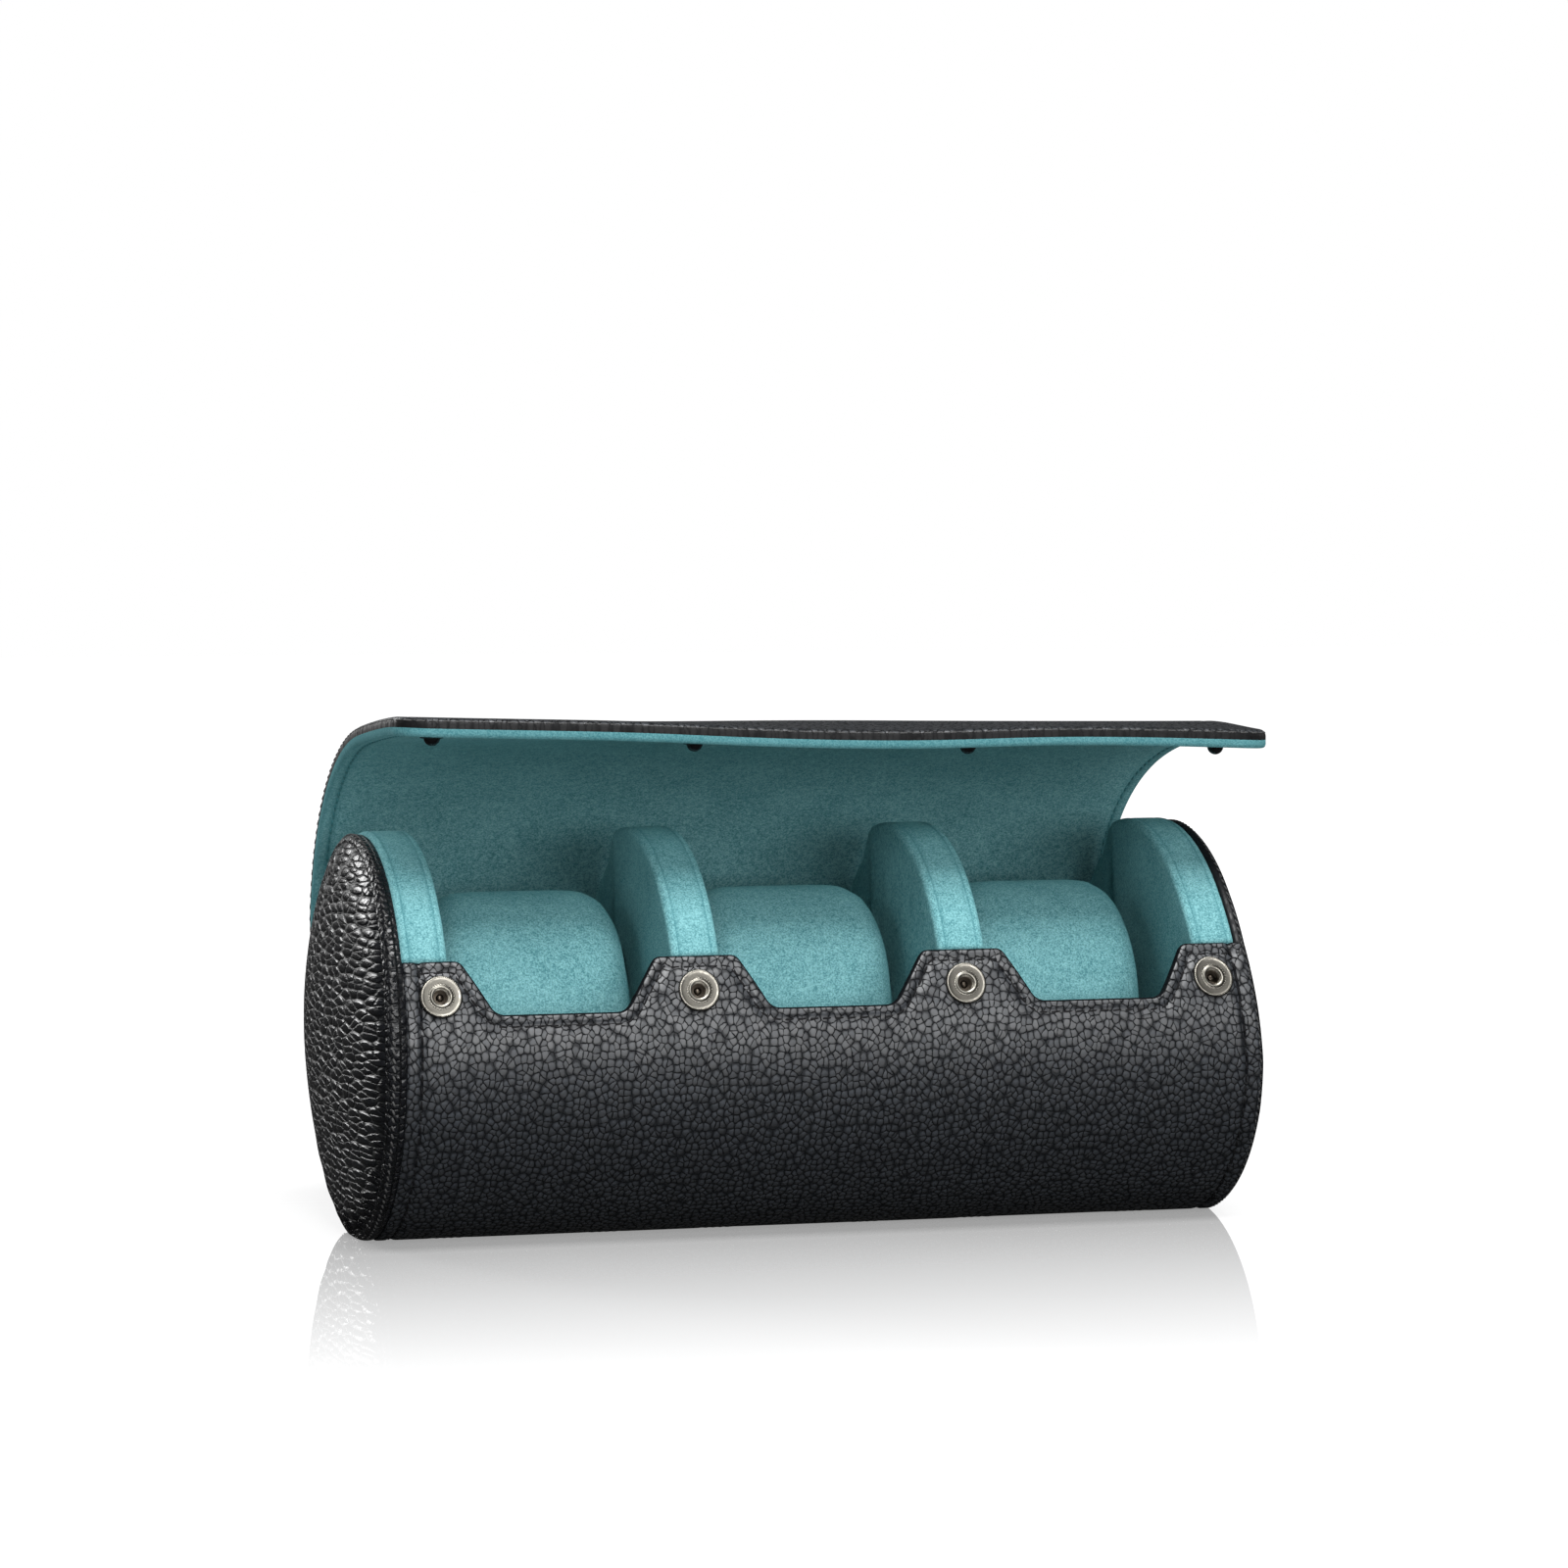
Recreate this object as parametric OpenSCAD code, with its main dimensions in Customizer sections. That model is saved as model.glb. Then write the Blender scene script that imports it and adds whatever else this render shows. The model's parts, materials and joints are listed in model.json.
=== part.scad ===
// Travel case for three watches: a leather wrap round two dividers and two padded ends,
// three removable cushions, and a flexible lid that wraps over the top and snaps to the
// tabs of the front wall.
// X runs along the case, -Y is the front and +Z is up. The origin is the centre of the
// flat that the case stands on. Angles in the cross-section are measured round the case
// axis: "rise" angles start at the front and go up, plane angles start at +Y.

/* [Wrap] */
// Outside diameter of the leather wrap
case_d = 100; // [92:1:110]
// Length over the two end rims
case_len = 220; // [206:1:240]
// Width of the flat that the case stands on
foot_w = 22; // [16:1:28]
// Thickness of the wrap's leather
leather_t = 1.8; // [1.4:0.1:2.2]
// Thickness of the stiff board under the leather
board_t = 1.2; // [0.9:0.1:1.6]
// Thickness of the suede lining
lining_t = 1.0; // [0.7:0.1:1.4]

/* [Front tabs] */
// Rise angle of the tabs' top edge
tab_rise = 26.2; // [24:0.2:30]
// Rise angle of the bottom of the three notches
notch_rise = 10.6; // [7:0.2:13]
// Width of a middle tab along its top edge
tab_w = 20.2; // [17:0.2:24]
// Width of an end tab along its top edge
end_tab_w = 14.2; // [13:0.2:18]
// How much wider a tab is at its foot, on each slanted side
tab_slant = 8; // [5:0.5:9]
// Corner radius at the top of a tab
tab_corner_r = 2.5; // [1:0.5:4]
// Corner radius at the bottom of a notch
notch_corner_r = 4; // [2:0.5:6]

/* [Ends] */
// Width of the rolled rim, along the case and towards the axis
rim_w = 3.8; // [3:0.2:5]
// How far the rim lies inside the wrap's outside radius
rim_inset = 0.4; // [0.2:0.1:1]
// Width of the groove between the wrap and the rim
rim_groove = 0.5; // [0.3:0.1:1]
// Height of the padded dome above its edge
dome_h = 4.2; // [2:0.2:6]
// How far the dome's edge lies behind the rim's outer face
dome_sink = 1.2; // [0.6:0.2:2]
// Thickness of the leather on the dome
dome_leather_t = 1.4; // [1:0.1:1.8]
// Thickness of the board in each end
end_board_t = 2; // [1.5:0.1:2.4]

/* [Dividers] */
// Thickness of a suede-covered end disc
end_disc_t = 11.3; // [9:0.1:13]
// Thickness of a divider
divider_t = 12; // [10:0.2:14]
// Distance from the middle of the case to the middle of a divider
divider_x = 33.6; // [31:0.2:37]
// Thickness of the suede on discs and dividers
suede_t = 1.0; // [0.7:0.1:1.3]
// Clearance between the discs and the lining
disc_gap = 0.3; // [0.2:0.05:0.5]
// How far the raised band stands above the wrap's outside radius
band_rise = 0.4; // [0.2:0.1:0.8]
// Rise angle where the raised band ends at the back
band_end_rise = 108; // [100:1:114]
// How much thinner a disc is behind its raised part, on each open face
rear_step = 0.8; // [0.4:0.1:1.2]
// Distance from the axis to the edge of that thinner part
rear_step_y = 12; // [8:0.5:15]

/* [Cushions] */
// Front-to-back size of a cushion
cushion_w = 56; // [50:1:60]
// Height of a cushion's top above the case axis
cushion_top = 37; // [32:1:40]
// Front-to-back size of a cushion at its foot
cushion_foot_w = 44; // [36:1:50]
// How far back of the axis a cushion's top lies
cushion_back = 1.5; // [0:0.5:4]
// Rounding of a cushion's ends
cushion_round = 6; // [3:0.5:9]
// Thickness of a cushion's suede cover
cushion_skin_t = 1.2; // [0.8:0.1:1.6]
// Clearance between a cushion and the suede round it
cushion_gap = 0.4; // [0.3:0.05:0.8]

/* [Snaps] */
// Rise angle of the snaps
snap_rise = 15.6; // [14.5:0.1:17]
// Distance from the wrap's end to the end snaps
snap_inset = 8.9; // [8:0.1:10]
// Outside diameter of a socket's flange
socket_d = 10.2; // [9:0.1:11]
// How far a socket stands out of the leather
socket_proud = 0.8; // [0.6:0.05:0.9]
// Diameter of the barrel through the leather
barrel_d = 6.6; // [6.2:0.1:7]
// Diameter of the hole that takes the stud
socket_hole_d = 4.6; // [4.5:0.05:4.9]
// Diameter of a stud's ball
stud_d = 4.2; // [3.8:0.05:4.3]
// How far a stud stands out of the lid's lining
stud_proud = 3; // [2.4:0.1:3.2]
// Diameter of the shank between a ball and its post
shank_d = 2.8; // [2.2:0.1:3.2]
// Diameter of the flat post head inside the flap
post_d = 8; // [7:0.5:9]
// Thickness of the post head
post_t = 0.7; // [0.5:0.05:0.9]
// Wire of the spring ring in a socket
spring_wire = 0.5; // [0.4:0.05:0.6]

/* [Lid] */
// Thickness of the lid's leather
lid_leather_t = 1.8; // [1.5:0.1:2.2]
// Thickness of the lid's board
lid_board_t = 1.0; // [0.8:0.1:1.3]
// Thickness of the lid's suede lining
lid_lining_t = 1.4; // [1.2:0.1:2]
// How far the lid's side edges lie inside the rims' outer faces
lid_side_inset = 1.7; // [1:0.1:2.5]
// How far the closed lid's inside passes over the wrap's outside radius
lid_over = 1.2; // [1.1:0.05:1.6]
// Rise angle of the front edge of the closed lid
lid_front_rise = 3.2; // [2:0.2:7]
// Length of each of the two strips of the front flap, front to back
strip_len = 30.3; // [27:0.1:31]
// Bending radius of a flap strip
strip_r = 90; // [75:5:120]
// Corner radius of the flap
flap_corner_r = 10; // [5:1:14]
// Opening of the lid as the case is shown
lid_open = 21; // [15:1:30]
// Slope of the flap's rear strip as the case is shown, rising to the front
rear_strip_slope = 6; // [0:0.5:12]
// Slope of the flap's front strip as the case is shown, rising to the front
front_strip_slope = 0; // [-5:0.5:8]
// Gap between two parts of the lid at a crease
crease_gap = 0.4; // [0.2:0.05:0.4]

/* [Hidden] */
$fn = 96;

// Radii round the case axis and the height of that axis over the foot
case_r = case_d / 2;
wall_t = leather_t + board_t + lining_t;
inner_r = case_r - wall_t;
axis_h = sqrt(case_r * case_r - foot_w * foot_w / 4);
disc_r = inner_r - disc_gap;
band_r = case_r + band_rise;
rim_r = case_r - rim_inset;

// Positions along the case, from its middle
half_len = case_len / 2;
rim_x = half_len - rim_w;
shell_half = rim_x - rim_groove;
end_face_x = shell_half - end_disc_t;
lid_half = half_len - lid_side_inset;
snap_x = [-(shell_half - snap_inset), -divider_x, divider_x, shell_half - snap_inset];

// Ends: the dome sits inside the rim, on the board
skin_gap = 0.05;
panel_r = rim_r - rim_w - 0.1;
board_x = shell_half + skin_gap;
panel_x = board_x + end_board_t + skin_gap;
dome_x = half_len - dome_sink;

// Plane angles, measured from +Y towards +Z
tab_a = 180 - tab_rise;
notch_a = 180 - notch_rise;
edge_cut_a = (tab_a + notch_a) / 2;
snap_a = 180 - snap_rise;
band_back_a = 180 - band_end_rise;
band_front_a = tab_a - 1.2;

// Closed lid: two strips whose middles lie on lid_r, then one arc back to the hinge
lid_t = lid_leather_t + lid_board_t + lid_lining_t;
flap_leather_t = lid_leather_t + lid_board_t;
lid_r = case_r + lid_over;
strip_sag = strip_r - sqrt(strip_r * strip_r - strip_len * strip_len / 4);
strip_end_r = norm([lid_r - strip_sag, strip_len / 2]);
strip_half_a = atan(strip_len / 2 / (lid_r - strip_sag));
front_strip_a = 180 - lid_front_rise - strip_half_a;
rear_strip_a = front_strip_a - 2 * strip_half_a;
front_crease = polar(strip_end_r, front_strip_a - strip_half_a);
rear_crease = polar(strip_end_r, rear_strip_a - strip_half_a);
hinge_line = [case_r, 0];
arc_start = [case_r - lid_t, 0];
arc_mid = polar(lid_r, band_back_a);
arc_c = circle_centre(arc_start, arc_mid, rear_crease);
arc_r = norm(arc_start - arc_c);
rear_fold = rear_strip_a - lid_open - 90 + rear_strip_slope;
front_fold = front_strip_a - lid_open - rear_fold - 90 + front_strip_slope;

// Cushion circles, as [y, z] centres in the cross-section
cushion_top_c = [cushion_back, cushion_top - cushion_w / 2];
cushion_foot_c = [0, -(axis_h - wall_t) + cushion_gap + cushion_foot_w / 2];

leather_black = [0.10, 0.10, 0.12];
edge_black = [0.04, 0.04, 0.05];
suede_teal = [0.17, 0.45, 0.48];
foam_grey = [0.55, 0.55, 0.53];
board_grey = [0.42, 0.38, 0.34];
nickel = [0.72, 0.71, 0.68];

function polar(r, a) = [r * cos(a), r * sin(a)];
function plane_angle(v) = atan2(v[1], v[0]);

// Centre of the circle through three points
function circle_centre(p, q, s) =
    let (
        u = q - p,
        v = s - p,
        d = 2 * (u[0] * v[1] - u[1] * v[0]),
        uu = u * u,
        vv = v * v
    ) p + [v[1] * uu - u[1] * vv, u[0] * vv - v[0] * uu] / d;

// Points of an arc that rounds the corner p between its neighbours a and b
function corner_arc(p, a, b, r, steps = 6) =
    r <= 0 ? [p] :
    let (
        u = (a - p) / norm(a - p),
        v = (b - p) / norm(b - p),
        half = acos(u * v) / 2,
        c = p + (u + v) / norm(u + v) * r / sin(half),
        a0 = plane_angle(p + u * r / tan(half) - c),
        turn = plane_angle(p + v * r / tan(half) - c) - a0,
        sweep = turn > 180 ? turn - 360 : turn < -180 ? turn + 360 : turn
    ) [for (i = [0:steps]) c + polar(r, a0 + sweep * i / steps)];

// Closed outline with its corners rounded by the given radii
function rounded(points, radii) =
    let (n = len(points))
    [for (i = [0:n - 1]) each corner_arc(points[i], points[(i + n - 1) % n], points[(i + 1) % n], radii[i])];

// A cross-section in the Y-Z plane, carried along X about the middle of the case
module along_x(length) {
    rotate([90, 0, 90]) linear_extrude(height = length, center = true) children();
}

// Stands in the case frame: the case axis is lifted to its height over the foot
module on_axis() {
    translate([0, 0, axis_h]) children();
}

// Wedge of the cross-section between two plane angles
module wedge(a0, a1, r = 2 * case_d) {
    steps = ceil((a1 - a0) / 15);
    polygon(concat([[0, 0]], [for (i = [0:steps]) polar(r, a0 + (a1 - a0) * i / steps)]));
}

// Disc that is cut flat over the foot; depth is its distance inside the wrap's outside
module footed_disc(r, depth) {
    intersection() {
        circle(r);
        translate([-case_d, -(axis_h - depth)]) square([2 * case_d, 2 * case_d]);
    }
}

// Children drawn with +Z along the radius at plane angle a, at x, on the surface of radius r
module on_radius(x, a, r) {
    translate([x, r * cos(a), r * sin(a)]) rotate([a, 0, 0]) rotate([-90, 0, 0]) children();
}

module at_snaps(r) {
    for (x = snap_x) on_radius(x, snap_a, r) children();
}

// ---------------------------------------------------------------- wrap

// Outline that is cut away above the tabs and in the notches, seen square to the front wall
module front_edge_cut() {
    top = case_r * sin(edge_cut_a - tab_a);
    low = case_r * sin(edge_cut_a - notch_a);
    end_x = shell_half - end_tab_w;
    tab_in = divider_x - tab_w / 2;
    tab_out = divider_x + tab_w / 2;
    out = half_len + 10;
    sky = top + 20;
    half = [
        [-out, sky], [-out, top],
        [-end_x, top], [-end_x + tab_slant, low], [-tab_out - tab_slant, low], [-tab_out, top],
        [-tab_in, top], [-tab_in + tab_slant, low]
    ];
    radii = [
        0, 0,
        tab_corner_r, notch_corner_r, notch_corner_r, tab_corner_r,
        tab_corner_r, notch_corner_r
    ];
    last = len(half) - 1;
    other = [for (i = [last:-1:0]) [-half[i][0], half[i][1]]];
    polygon(rounded(concat(half, other), concat(radii, [for (i = [last:-1:0]) radii[i]])));
}

// One layer of the wrap between two depths under the leather's outside
module wrap_layer(outer_depth, inner_depth, hole_d) {
    on_axis() difference() {
        along_x(2 * shell_half) difference() {
            footed_disc(case_r - outer_depth, outer_depth);
            footed_disc(case_r - inner_depth, inner_depth);
            wedge(0, tab_a - 6);
        }
        rotate([edge_cut_a - 90, 0, 0])
            linear_extrude(height = case_d) mirror([0, 1]) rotate(180) mirror([1, 0]) front_edge_cut();
        at_snaps(case_r - wall_t - 1) cylinder(d = hole_d, h = wall_t + 2);
    }
}

module shell_leather() {
    color(leather_black) wrap_layer(0, leather_t, barrel_d + 0.1);
}

module shell_board() {
    color(board_grey) difference() {
        wrap_layer(leather_t, leather_t + board_t, barrel_d + 0.1);
        on_axis() at_snaps(case_r - leather_t - board_t - 0.5)
            cylinder(d = socket_d - 0.6, h = 0.5 + socket_back_t + 0.1);
    }
}

module shell_lining() {
    color(suede_teal) wrap_layer(leather_t + board_t, wall_t, 0);
}

// ---------------------------------------------------------------- ends

// Height of the dome above its edge at radius r: full over the middle, steep at the edge
function dome_profile(r_edge, h) =
    [for (i = [0:14]) let (q = sin(90 * i / 14)) [r_edge * q, h * pow(1 - pow(q, 4), 0.6)]];

module dome_half(r_edge, h, back) {
    rotate([0, 90, 0]) rotate_extrude() polygon(concat([[0, -back], ], dome_profile(r_edge, h), [[r_edge, -back]]));
}

module end_rim() {
    on_axis() intersection() {
        rotate([0, 90, 0]) rotate_extrude() union() {
            translate([rim_r - rim_w / 2, rim_x + rim_w / 2]) circle(d = rim_w);
            translate([rim_r - rim_w, rim_x]) square([rim_w / 2, rim_w]);
        }
        along_x(2 * case_len) footed_disc(case_d, 0);
    }
}

module end_panel() {
    back = dome_x - panel_x;
    on_axis() translate([dome_x, 0, 0]) difference() {
        dome_half(panel_r, dome_h, back);
        translate([-skin_gap, 0, 0]) dome_half(panel_r - dome_leather_t, dome_h - dome_leather_t, back + 1);
    }
}

module end_padding() {
    back = dome_x - panel_x;
    on_axis() translate([dome_x - 2 * skin_gap, 0, 0])
        dome_half(panel_r - dome_leather_t - skin_gap, dome_h - dome_leather_t, back - 2 * skin_gap);
}

module end_board() {
    on_axis() translate([board_x, 0, 0]) rotate([0, 90, 0]) cylinder(r = panel_r, h = end_board_t);
}

module handed(side) {
    if (side > 0) children();
    else mirror([1, 0, 0]) children();
}

module end_rim_left() { color(edge_black) handed(-1) end_rim(); }
module end_rim_right() { color(edge_black) handed(1) end_rim(); }
module end_panel_left() { color(leather_black) handed(-1) end_panel(); }
module end_panel_right() { color(leather_black) handed(1) end_panel(); }
module end_padding_left() { color(foam_grey) handed(-1) end_padding(); }
module end_padding_right() { color(foam_grey) handed(1) end_padding(); }
module end_board_left() { color(board_grey) handed(-1) end_board(); }
module end_board_right() { color(board_grey) handed(1) end_board(); }

// ---------------------------------------------------------------- discs and dividers

// Outline of a disc: it fits inside the wrap and is raised where the wrap is open
module disc_outline(inset) {
    da = inset * 180 / PI / band_r;
    footed_disc(disc_r - inset, case_r - disc_r + inset);
    intersection() {
        circle(band_r - inset);
        wedge(band_back_a + da, band_front_a - da);
    }
}

// Solid of a disc from x0 to x1; the faces in steps are cut back behind the raised part
module disc_solid(x0, x1, inset, steps) {
    on_axis() difference() {
        translate([(x0 + x1) / 2, 0, 0]) along_x(x1 - x0 - 2 * inset) disc_outline(inset);
        for (s = steps)
            translate([s > 0 ? x1 - inset - rear_step : x0 + inset - rear_step, rear_step_y - inset, -case_r])
                cube([2 * rear_step, case_d, case_d]);
    }
}

module disc_core(x0, x1, steps) {
    disc_solid(x0, x1, suede_t + skin_gap, steps);
}

module disc_suede(x0, x1, steps) {
    difference() {
        disc_solid(x0, x1, 0, steps);
        disc_solid(x0, x1, suede_t, steps);
    }
}

module end_disc_core() { disc_core(end_face_x, shell_half, [-1]); }
module end_disc_suede() { disc_suede(end_face_x, shell_half, [-1]); }
module divider_core() { disc_core(divider_x - divider_t / 2, divider_x + divider_t / 2, [-1, 1]); }
module divider_suede() { disc_suede(divider_x - divider_t / 2, divider_x + divider_t / 2, [-1, 1]); }

module end_disc_core_left() { color(foam_grey) handed(-1) end_disc_core(); }
module end_disc_core_right() { color(foam_grey) handed(1) end_disc_core(); }
module end_disc_suede_left() { color(suede_teal) handed(-1) end_disc_suede(); }
module end_disc_suede_right() { color(suede_teal) handed(1) end_disc_suede(); }
module divider_core_left() { color(foam_grey) handed(-1) divider_core(); }
module divider_core_right() { color(foam_grey) handed(1) divider_core(); }
module divider_suede_left() { color(suede_teal) handed(-1) divider_suede(); }
module divider_suede_right() { color(suede_teal) handed(1) divider_suede(); }

// ---------------------------------------------------------------- snaps

socket_back_t = 0.5;
spring_r = socket_hole_d / 2 + spring_wire / 2 - 0.05;

// Dished flange on the leather with a barrel that goes through leather and board
module snap_socket() {
    depth = leather_t + board_t - socket_back_t - 0.05;
    spring_z = -leather_t / 2;
    rotate_extrude() difference() {
        union() {
            translate([0, -depth]) square([barrel_d / 2, depth + 0.05]);
            translate([0, 0.05]) square([socket_d / 2, 0.35]);
            polygon([[socket_hole_d / 2, 0.1], [socket_d / 2 - 0.1, 0.1], [socket_d / 2 - 0.3, socket_proud - 0.1],
                [socket_d / 2 - 0.8, socket_proud], [socket_hole_d / 2 + 1.1, 0.45],
                [socket_hole_d / 2 + 0.6, socket_proud], [socket_hole_d / 2, socket_proud]]);
        }
        translate([0, -depth - 1]) square([socket_hole_d / 2, depth + 3]);
        translate([spring_r, spring_z]) circle(d = spring_wire + 0.1, $fn = 24);
    }
}

module snap_sockets() {
    color(nickel) on_axis() at_snaps(case_r) snap_socket();
}

module socket_springs() {
    color(nickel) on_axis() at_snaps(case_r - leather_t / 2)
        rotate_extrude() translate([spring_r, 0]) circle(d = spring_wire, $fn = 24);
}

// Closed washer between board and lining that holds the barrel
module socket_backs() {
    color(nickel) on_axis() at_snaps(case_r - leather_t - board_t + 0.05)
        cylinder(d = socket_d - 0.8, h = socket_back_t - 0.1);
}

// ---------------------------------------------------------------- lid

// Children are drawn closed and turned open about the hinge
module open_lid() {
    translate([0, hinge_line[0], hinge_line[1]]) rotate([-lid_open, 0, 0])
        translate([0, -hinge_line[0], -hinge_line[1]]) children();
}

// Children are drawn closed and turned flat about the crease between lid and flap
module open_rear_strip() {
    open_lid() translate([0, rear_crease[0], rear_crease[1]]) rotate([-rear_fold, 0, 0])
        translate([0, -rear_crease[0], -rear_crease[1]]) children();
}

// Children are drawn closed and turned flat about the crease between the two strips
module open_front_strip() {
    open_rear_strip() translate([0, front_crease[0], front_crease[1]]) rotate([-front_fold, 0, 0])
        translate([0, -front_crease[0], -front_crease[1]]) children();
}

// Band of the lid's arc between two heights over its inside
module lid_arc(t0, t1) {
    start_a = plane_angle([arc_start[0], crease_gap] - arc_c);
    end_a = plane_angle(rear_crease - arc_c);
    intersection() {
        translate(arc_c) intersection() {
            difference() {
                circle(arc_r + t1);
                circle(arc_r + t0);
            }
            wedge(start_a - 20, end_a - crease_gap * 90 / PI / arc_r);
        }
        translate([-case_d, crease_gap]) square([2 * case_d, 2 * case_d]);
    }
}

// Tapers the lid's side edges so that it passes between the rims near its hinge
module lid_taper() {
    taper_a = 60;
    for (s = [-1, 1])
        rotate([taper_a - 90, 0, 0]) linear_extrude(height = case_d)
            polygon([[s * shell_half, case_d], [s * shell_half, 0], [s * (lid_half + 0.05), -12],
                [s * (half_len + 20), -12], [s * (half_len + 20), case_d]]);
}

module lid_layer(t0, t1) {
    on_axis() open_lid() difference() {
        along_x(2 * lid_half) lid_arc(t0, t1);
        lid_taper();
    }
}

// Band of one flap strip whose middle lies at plane angle a, between two heights; spare is
// a length left over at its front for trimming
module strip_arc(a, t0, t1, spare = 0) {
    rotate(a) translate([lid_r - strip_r, 0]) intersection() {
        difference() {
            circle(strip_r + t1, $fn = 180);
            circle(strip_r + t0, $fn = 180);
        }
        translate([0, -(strip_len - crease_gap) / 2]) square([2 * strip_r, strip_len - crease_gap + spare]);
    }
}

module rear_strip_layer(t0, t1) {
    on_axis() open_rear_strip() along_x(2 * lid_half) strip_arc(rear_strip_a, t0, t1);
}

// Outline of the front strip with its rounded corners, seen square to it
module front_strip_plan() {
    edge = -(strip_len - crease_gap) / 2;
    side = lid_half - flap_corner_r;
    translate([-lid_half, edge + flap_corner_r]) square([2 * lid_half, strip_len]);
    translate([-side, edge]) square([2 * side, strip_len / 2]);
    for (s = [-1, 1]) translate([s * side, edge + flap_corner_r]) circle(flap_corner_r);
}

module front_strip_layer(t0, t1) {
    on_axis() open_front_strip() difference() {
        intersection() {
            along_x(2 * lid_half + 2) strip_arc(front_strip_a, t0, t1, 1);
            rotate([front_strip_a - 90, 0, 0]) linear_extrude(height = case_d) front_strip_plan();
        }
        at_snaps(lid_r - 1) cylinder(d = shank_d + 0.3, h = 1 + lid_lining_t + post_t + 0.2);
        at_snaps(post_r - 0.1) cylinder(d = post_d + 0.3, h = post_t + 0.2);
    }
}

module lid_leather() { color(leather_black) lid_layer(lid_lining_t + lid_board_t, lid_t); }
module lid_board() { color(board_grey) lid_layer(lid_lining_t, lid_lining_t + lid_board_t); }
module lid_lining() { color(suede_teal) lid_layer(0, lid_lining_t); }
module flap_rear_leather() { color(leather_black) rear_strip_layer(lid_lining_t, lid_t); }
module flap_rear_lining() { color(suede_teal) rear_strip_layer(0, lid_lining_t); }
module flap_front_leather() { color(leather_black) front_strip_layer(lid_lining_t, lid_t); }
module flap_front_lining() { color(suede_teal) front_strip_layer(0, lid_lining_t); }

// The posts lie on the lining, inside the flap's leather
snap_side = lid_r * sin(snap_a - front_strip_a);
lining_inner_r = (lid_r - strip_r + sqrt(strip_r * strip_r - snap_side * snap_side)) / cos(snap_a - front_strip_a);
post_r = lining_inner_r + lid_lining_t + 0.35;
stud_tip_r = lining_inner_r - stud_proud;

module snap_studs() {
    color(edge_black) on_axis() open_front_strip() at_snaps(stud_tip_r) {
        translate([0, 0, stud_d / 2]) sphere(d = stud_d, $fn = 48);
        translate([0, 0, stud_d / 2]) cylinder(d = shank_d, h = post_r - stud_tip_r - stud_d / 2);
    }
}

module stud_posts() {
    color(nickel) on_axis() open_front_strip() at_snaps(post_r) cylinder(d = post_d, h = post_t);
}

// ---------------------------------------------------------------- cushions

// Rounded pillow: a wide circle over a narrower one, with rounded ends
module cushion_form(length, inset) {
    round_r = cushion_round - inset;
    hull() for (c = [[cushion_top_c, cushion_w / 2], [cushion_foot_c, cushion_foot_w / 2]])
        for (a = [0, 45, 90])
            translate([0, c[0][0], c[0][1]]) rotate([0, 90, 0])
                cylinder(r = c[1] - inset - round_r * (1 - cos(a)), $fn = 32, center = true,
                    h = length - 2 * inset - 2 * round_r * (1 - sin(a)));
}

module cushion_cover(length) {
    on_axis() difference() {
        cushion_form(length, 0);
        cushion_form(length, cushion_skin_t);
    }
}

module cushion_core(length) {
    on_axis() cushion_form(length, cushion_skin_t + skin_gap);
}

end_bay = end_face_x - divider_x - divider_t / 2;
end_bay_x = (end_face_x + divider_x + divider_t / 2) / 2;
middle_bay = 2 * divider_x - divider_t;

module cushion_cover_left() { color(suede_teal) translate([-end_bay_x, 0, 0]) cushion_cover(end_bay - 2 * cushion_gap); }
module cushion_cover_middle() { color(suede_teal) cushion_cover(middle_bay - 2 * cushion_gap); }
module cushion_cover_right() { color(suede_teal) translate([end_bay_x, 0, 0]) cushion_cover(end_bay - 2 * cushion_gap); }
module cushion_core_left() { color(foam_grey) translate([-end_bay_x, 0, 0]) cushion_core(end_bay - 2 * cushion_gap); }
module cushion_core_middle() { color(foam_grey) cushion_core(middle_bay - 2 * cushion_gap); }
module cushion_core_right() { color(foam_grey) translate([end_bay_x, 0, 0]) cushion_core(end_bay - 2 * cushion_gap); }

shell_leather();
shell_board();
shell_lining();
end_rim_left();
end_rim_right();
end_panel_left();
end_panel_right();
end_padding_left();
end_padding_right();
end_board_left();
end_board_right();
end_disc_core_left();
end_disc_core_right();
end_disc_suede_left();
end_disc_suede_right();
divider_core_left();
divider_core_right();
divider_suede_left();
divider_suede_right();
snap_sockets();
socket_springs();
socket_backs();
lid_leather();
lid_board();
lid_lining();
flap_rear_leather();
flap_rear_lining();
flap_front_leather();
flap_front_lining();
snap_studs();
stud_posts();
cushion_cover_left();
cushion_cover_middle();
cushion_cover_right();
cushion_core_left();
cushion_core_middle();
cushion_core_right();
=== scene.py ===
"""Looks of a travel case for three watches: black pebbled leather outside, teal suede inside.

Lengths are in metres in the frame's own coordinates: X runs along the case, -Y is the front
and +Z is up. A plane angle is measured in the cross-section, from +Y towards +Z. Each piece
is a surface worked out on a grid of two parameters, and carries two point attributes: "flat",
its place on the leather or suede laid flat, and "edge", so that grain, paint and seams follow
it. On leather "edge" is the distance to the nearest cut edge; on the wrap a small value under
each hem stitch paints the seam's shadow. On suede it is the share of the light tone, which
drops to paint shade into seam grooves and along the lid lining's front edge.
"""

import json
import logging
import math
from dataclasses import dataclass, field
from enum import Enum
from functools import reduce
from typing import Callable, Iterable, Sequence

import bpy
import bmesh
import numpy as np
from mathutils import Matrix, Vector


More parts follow.
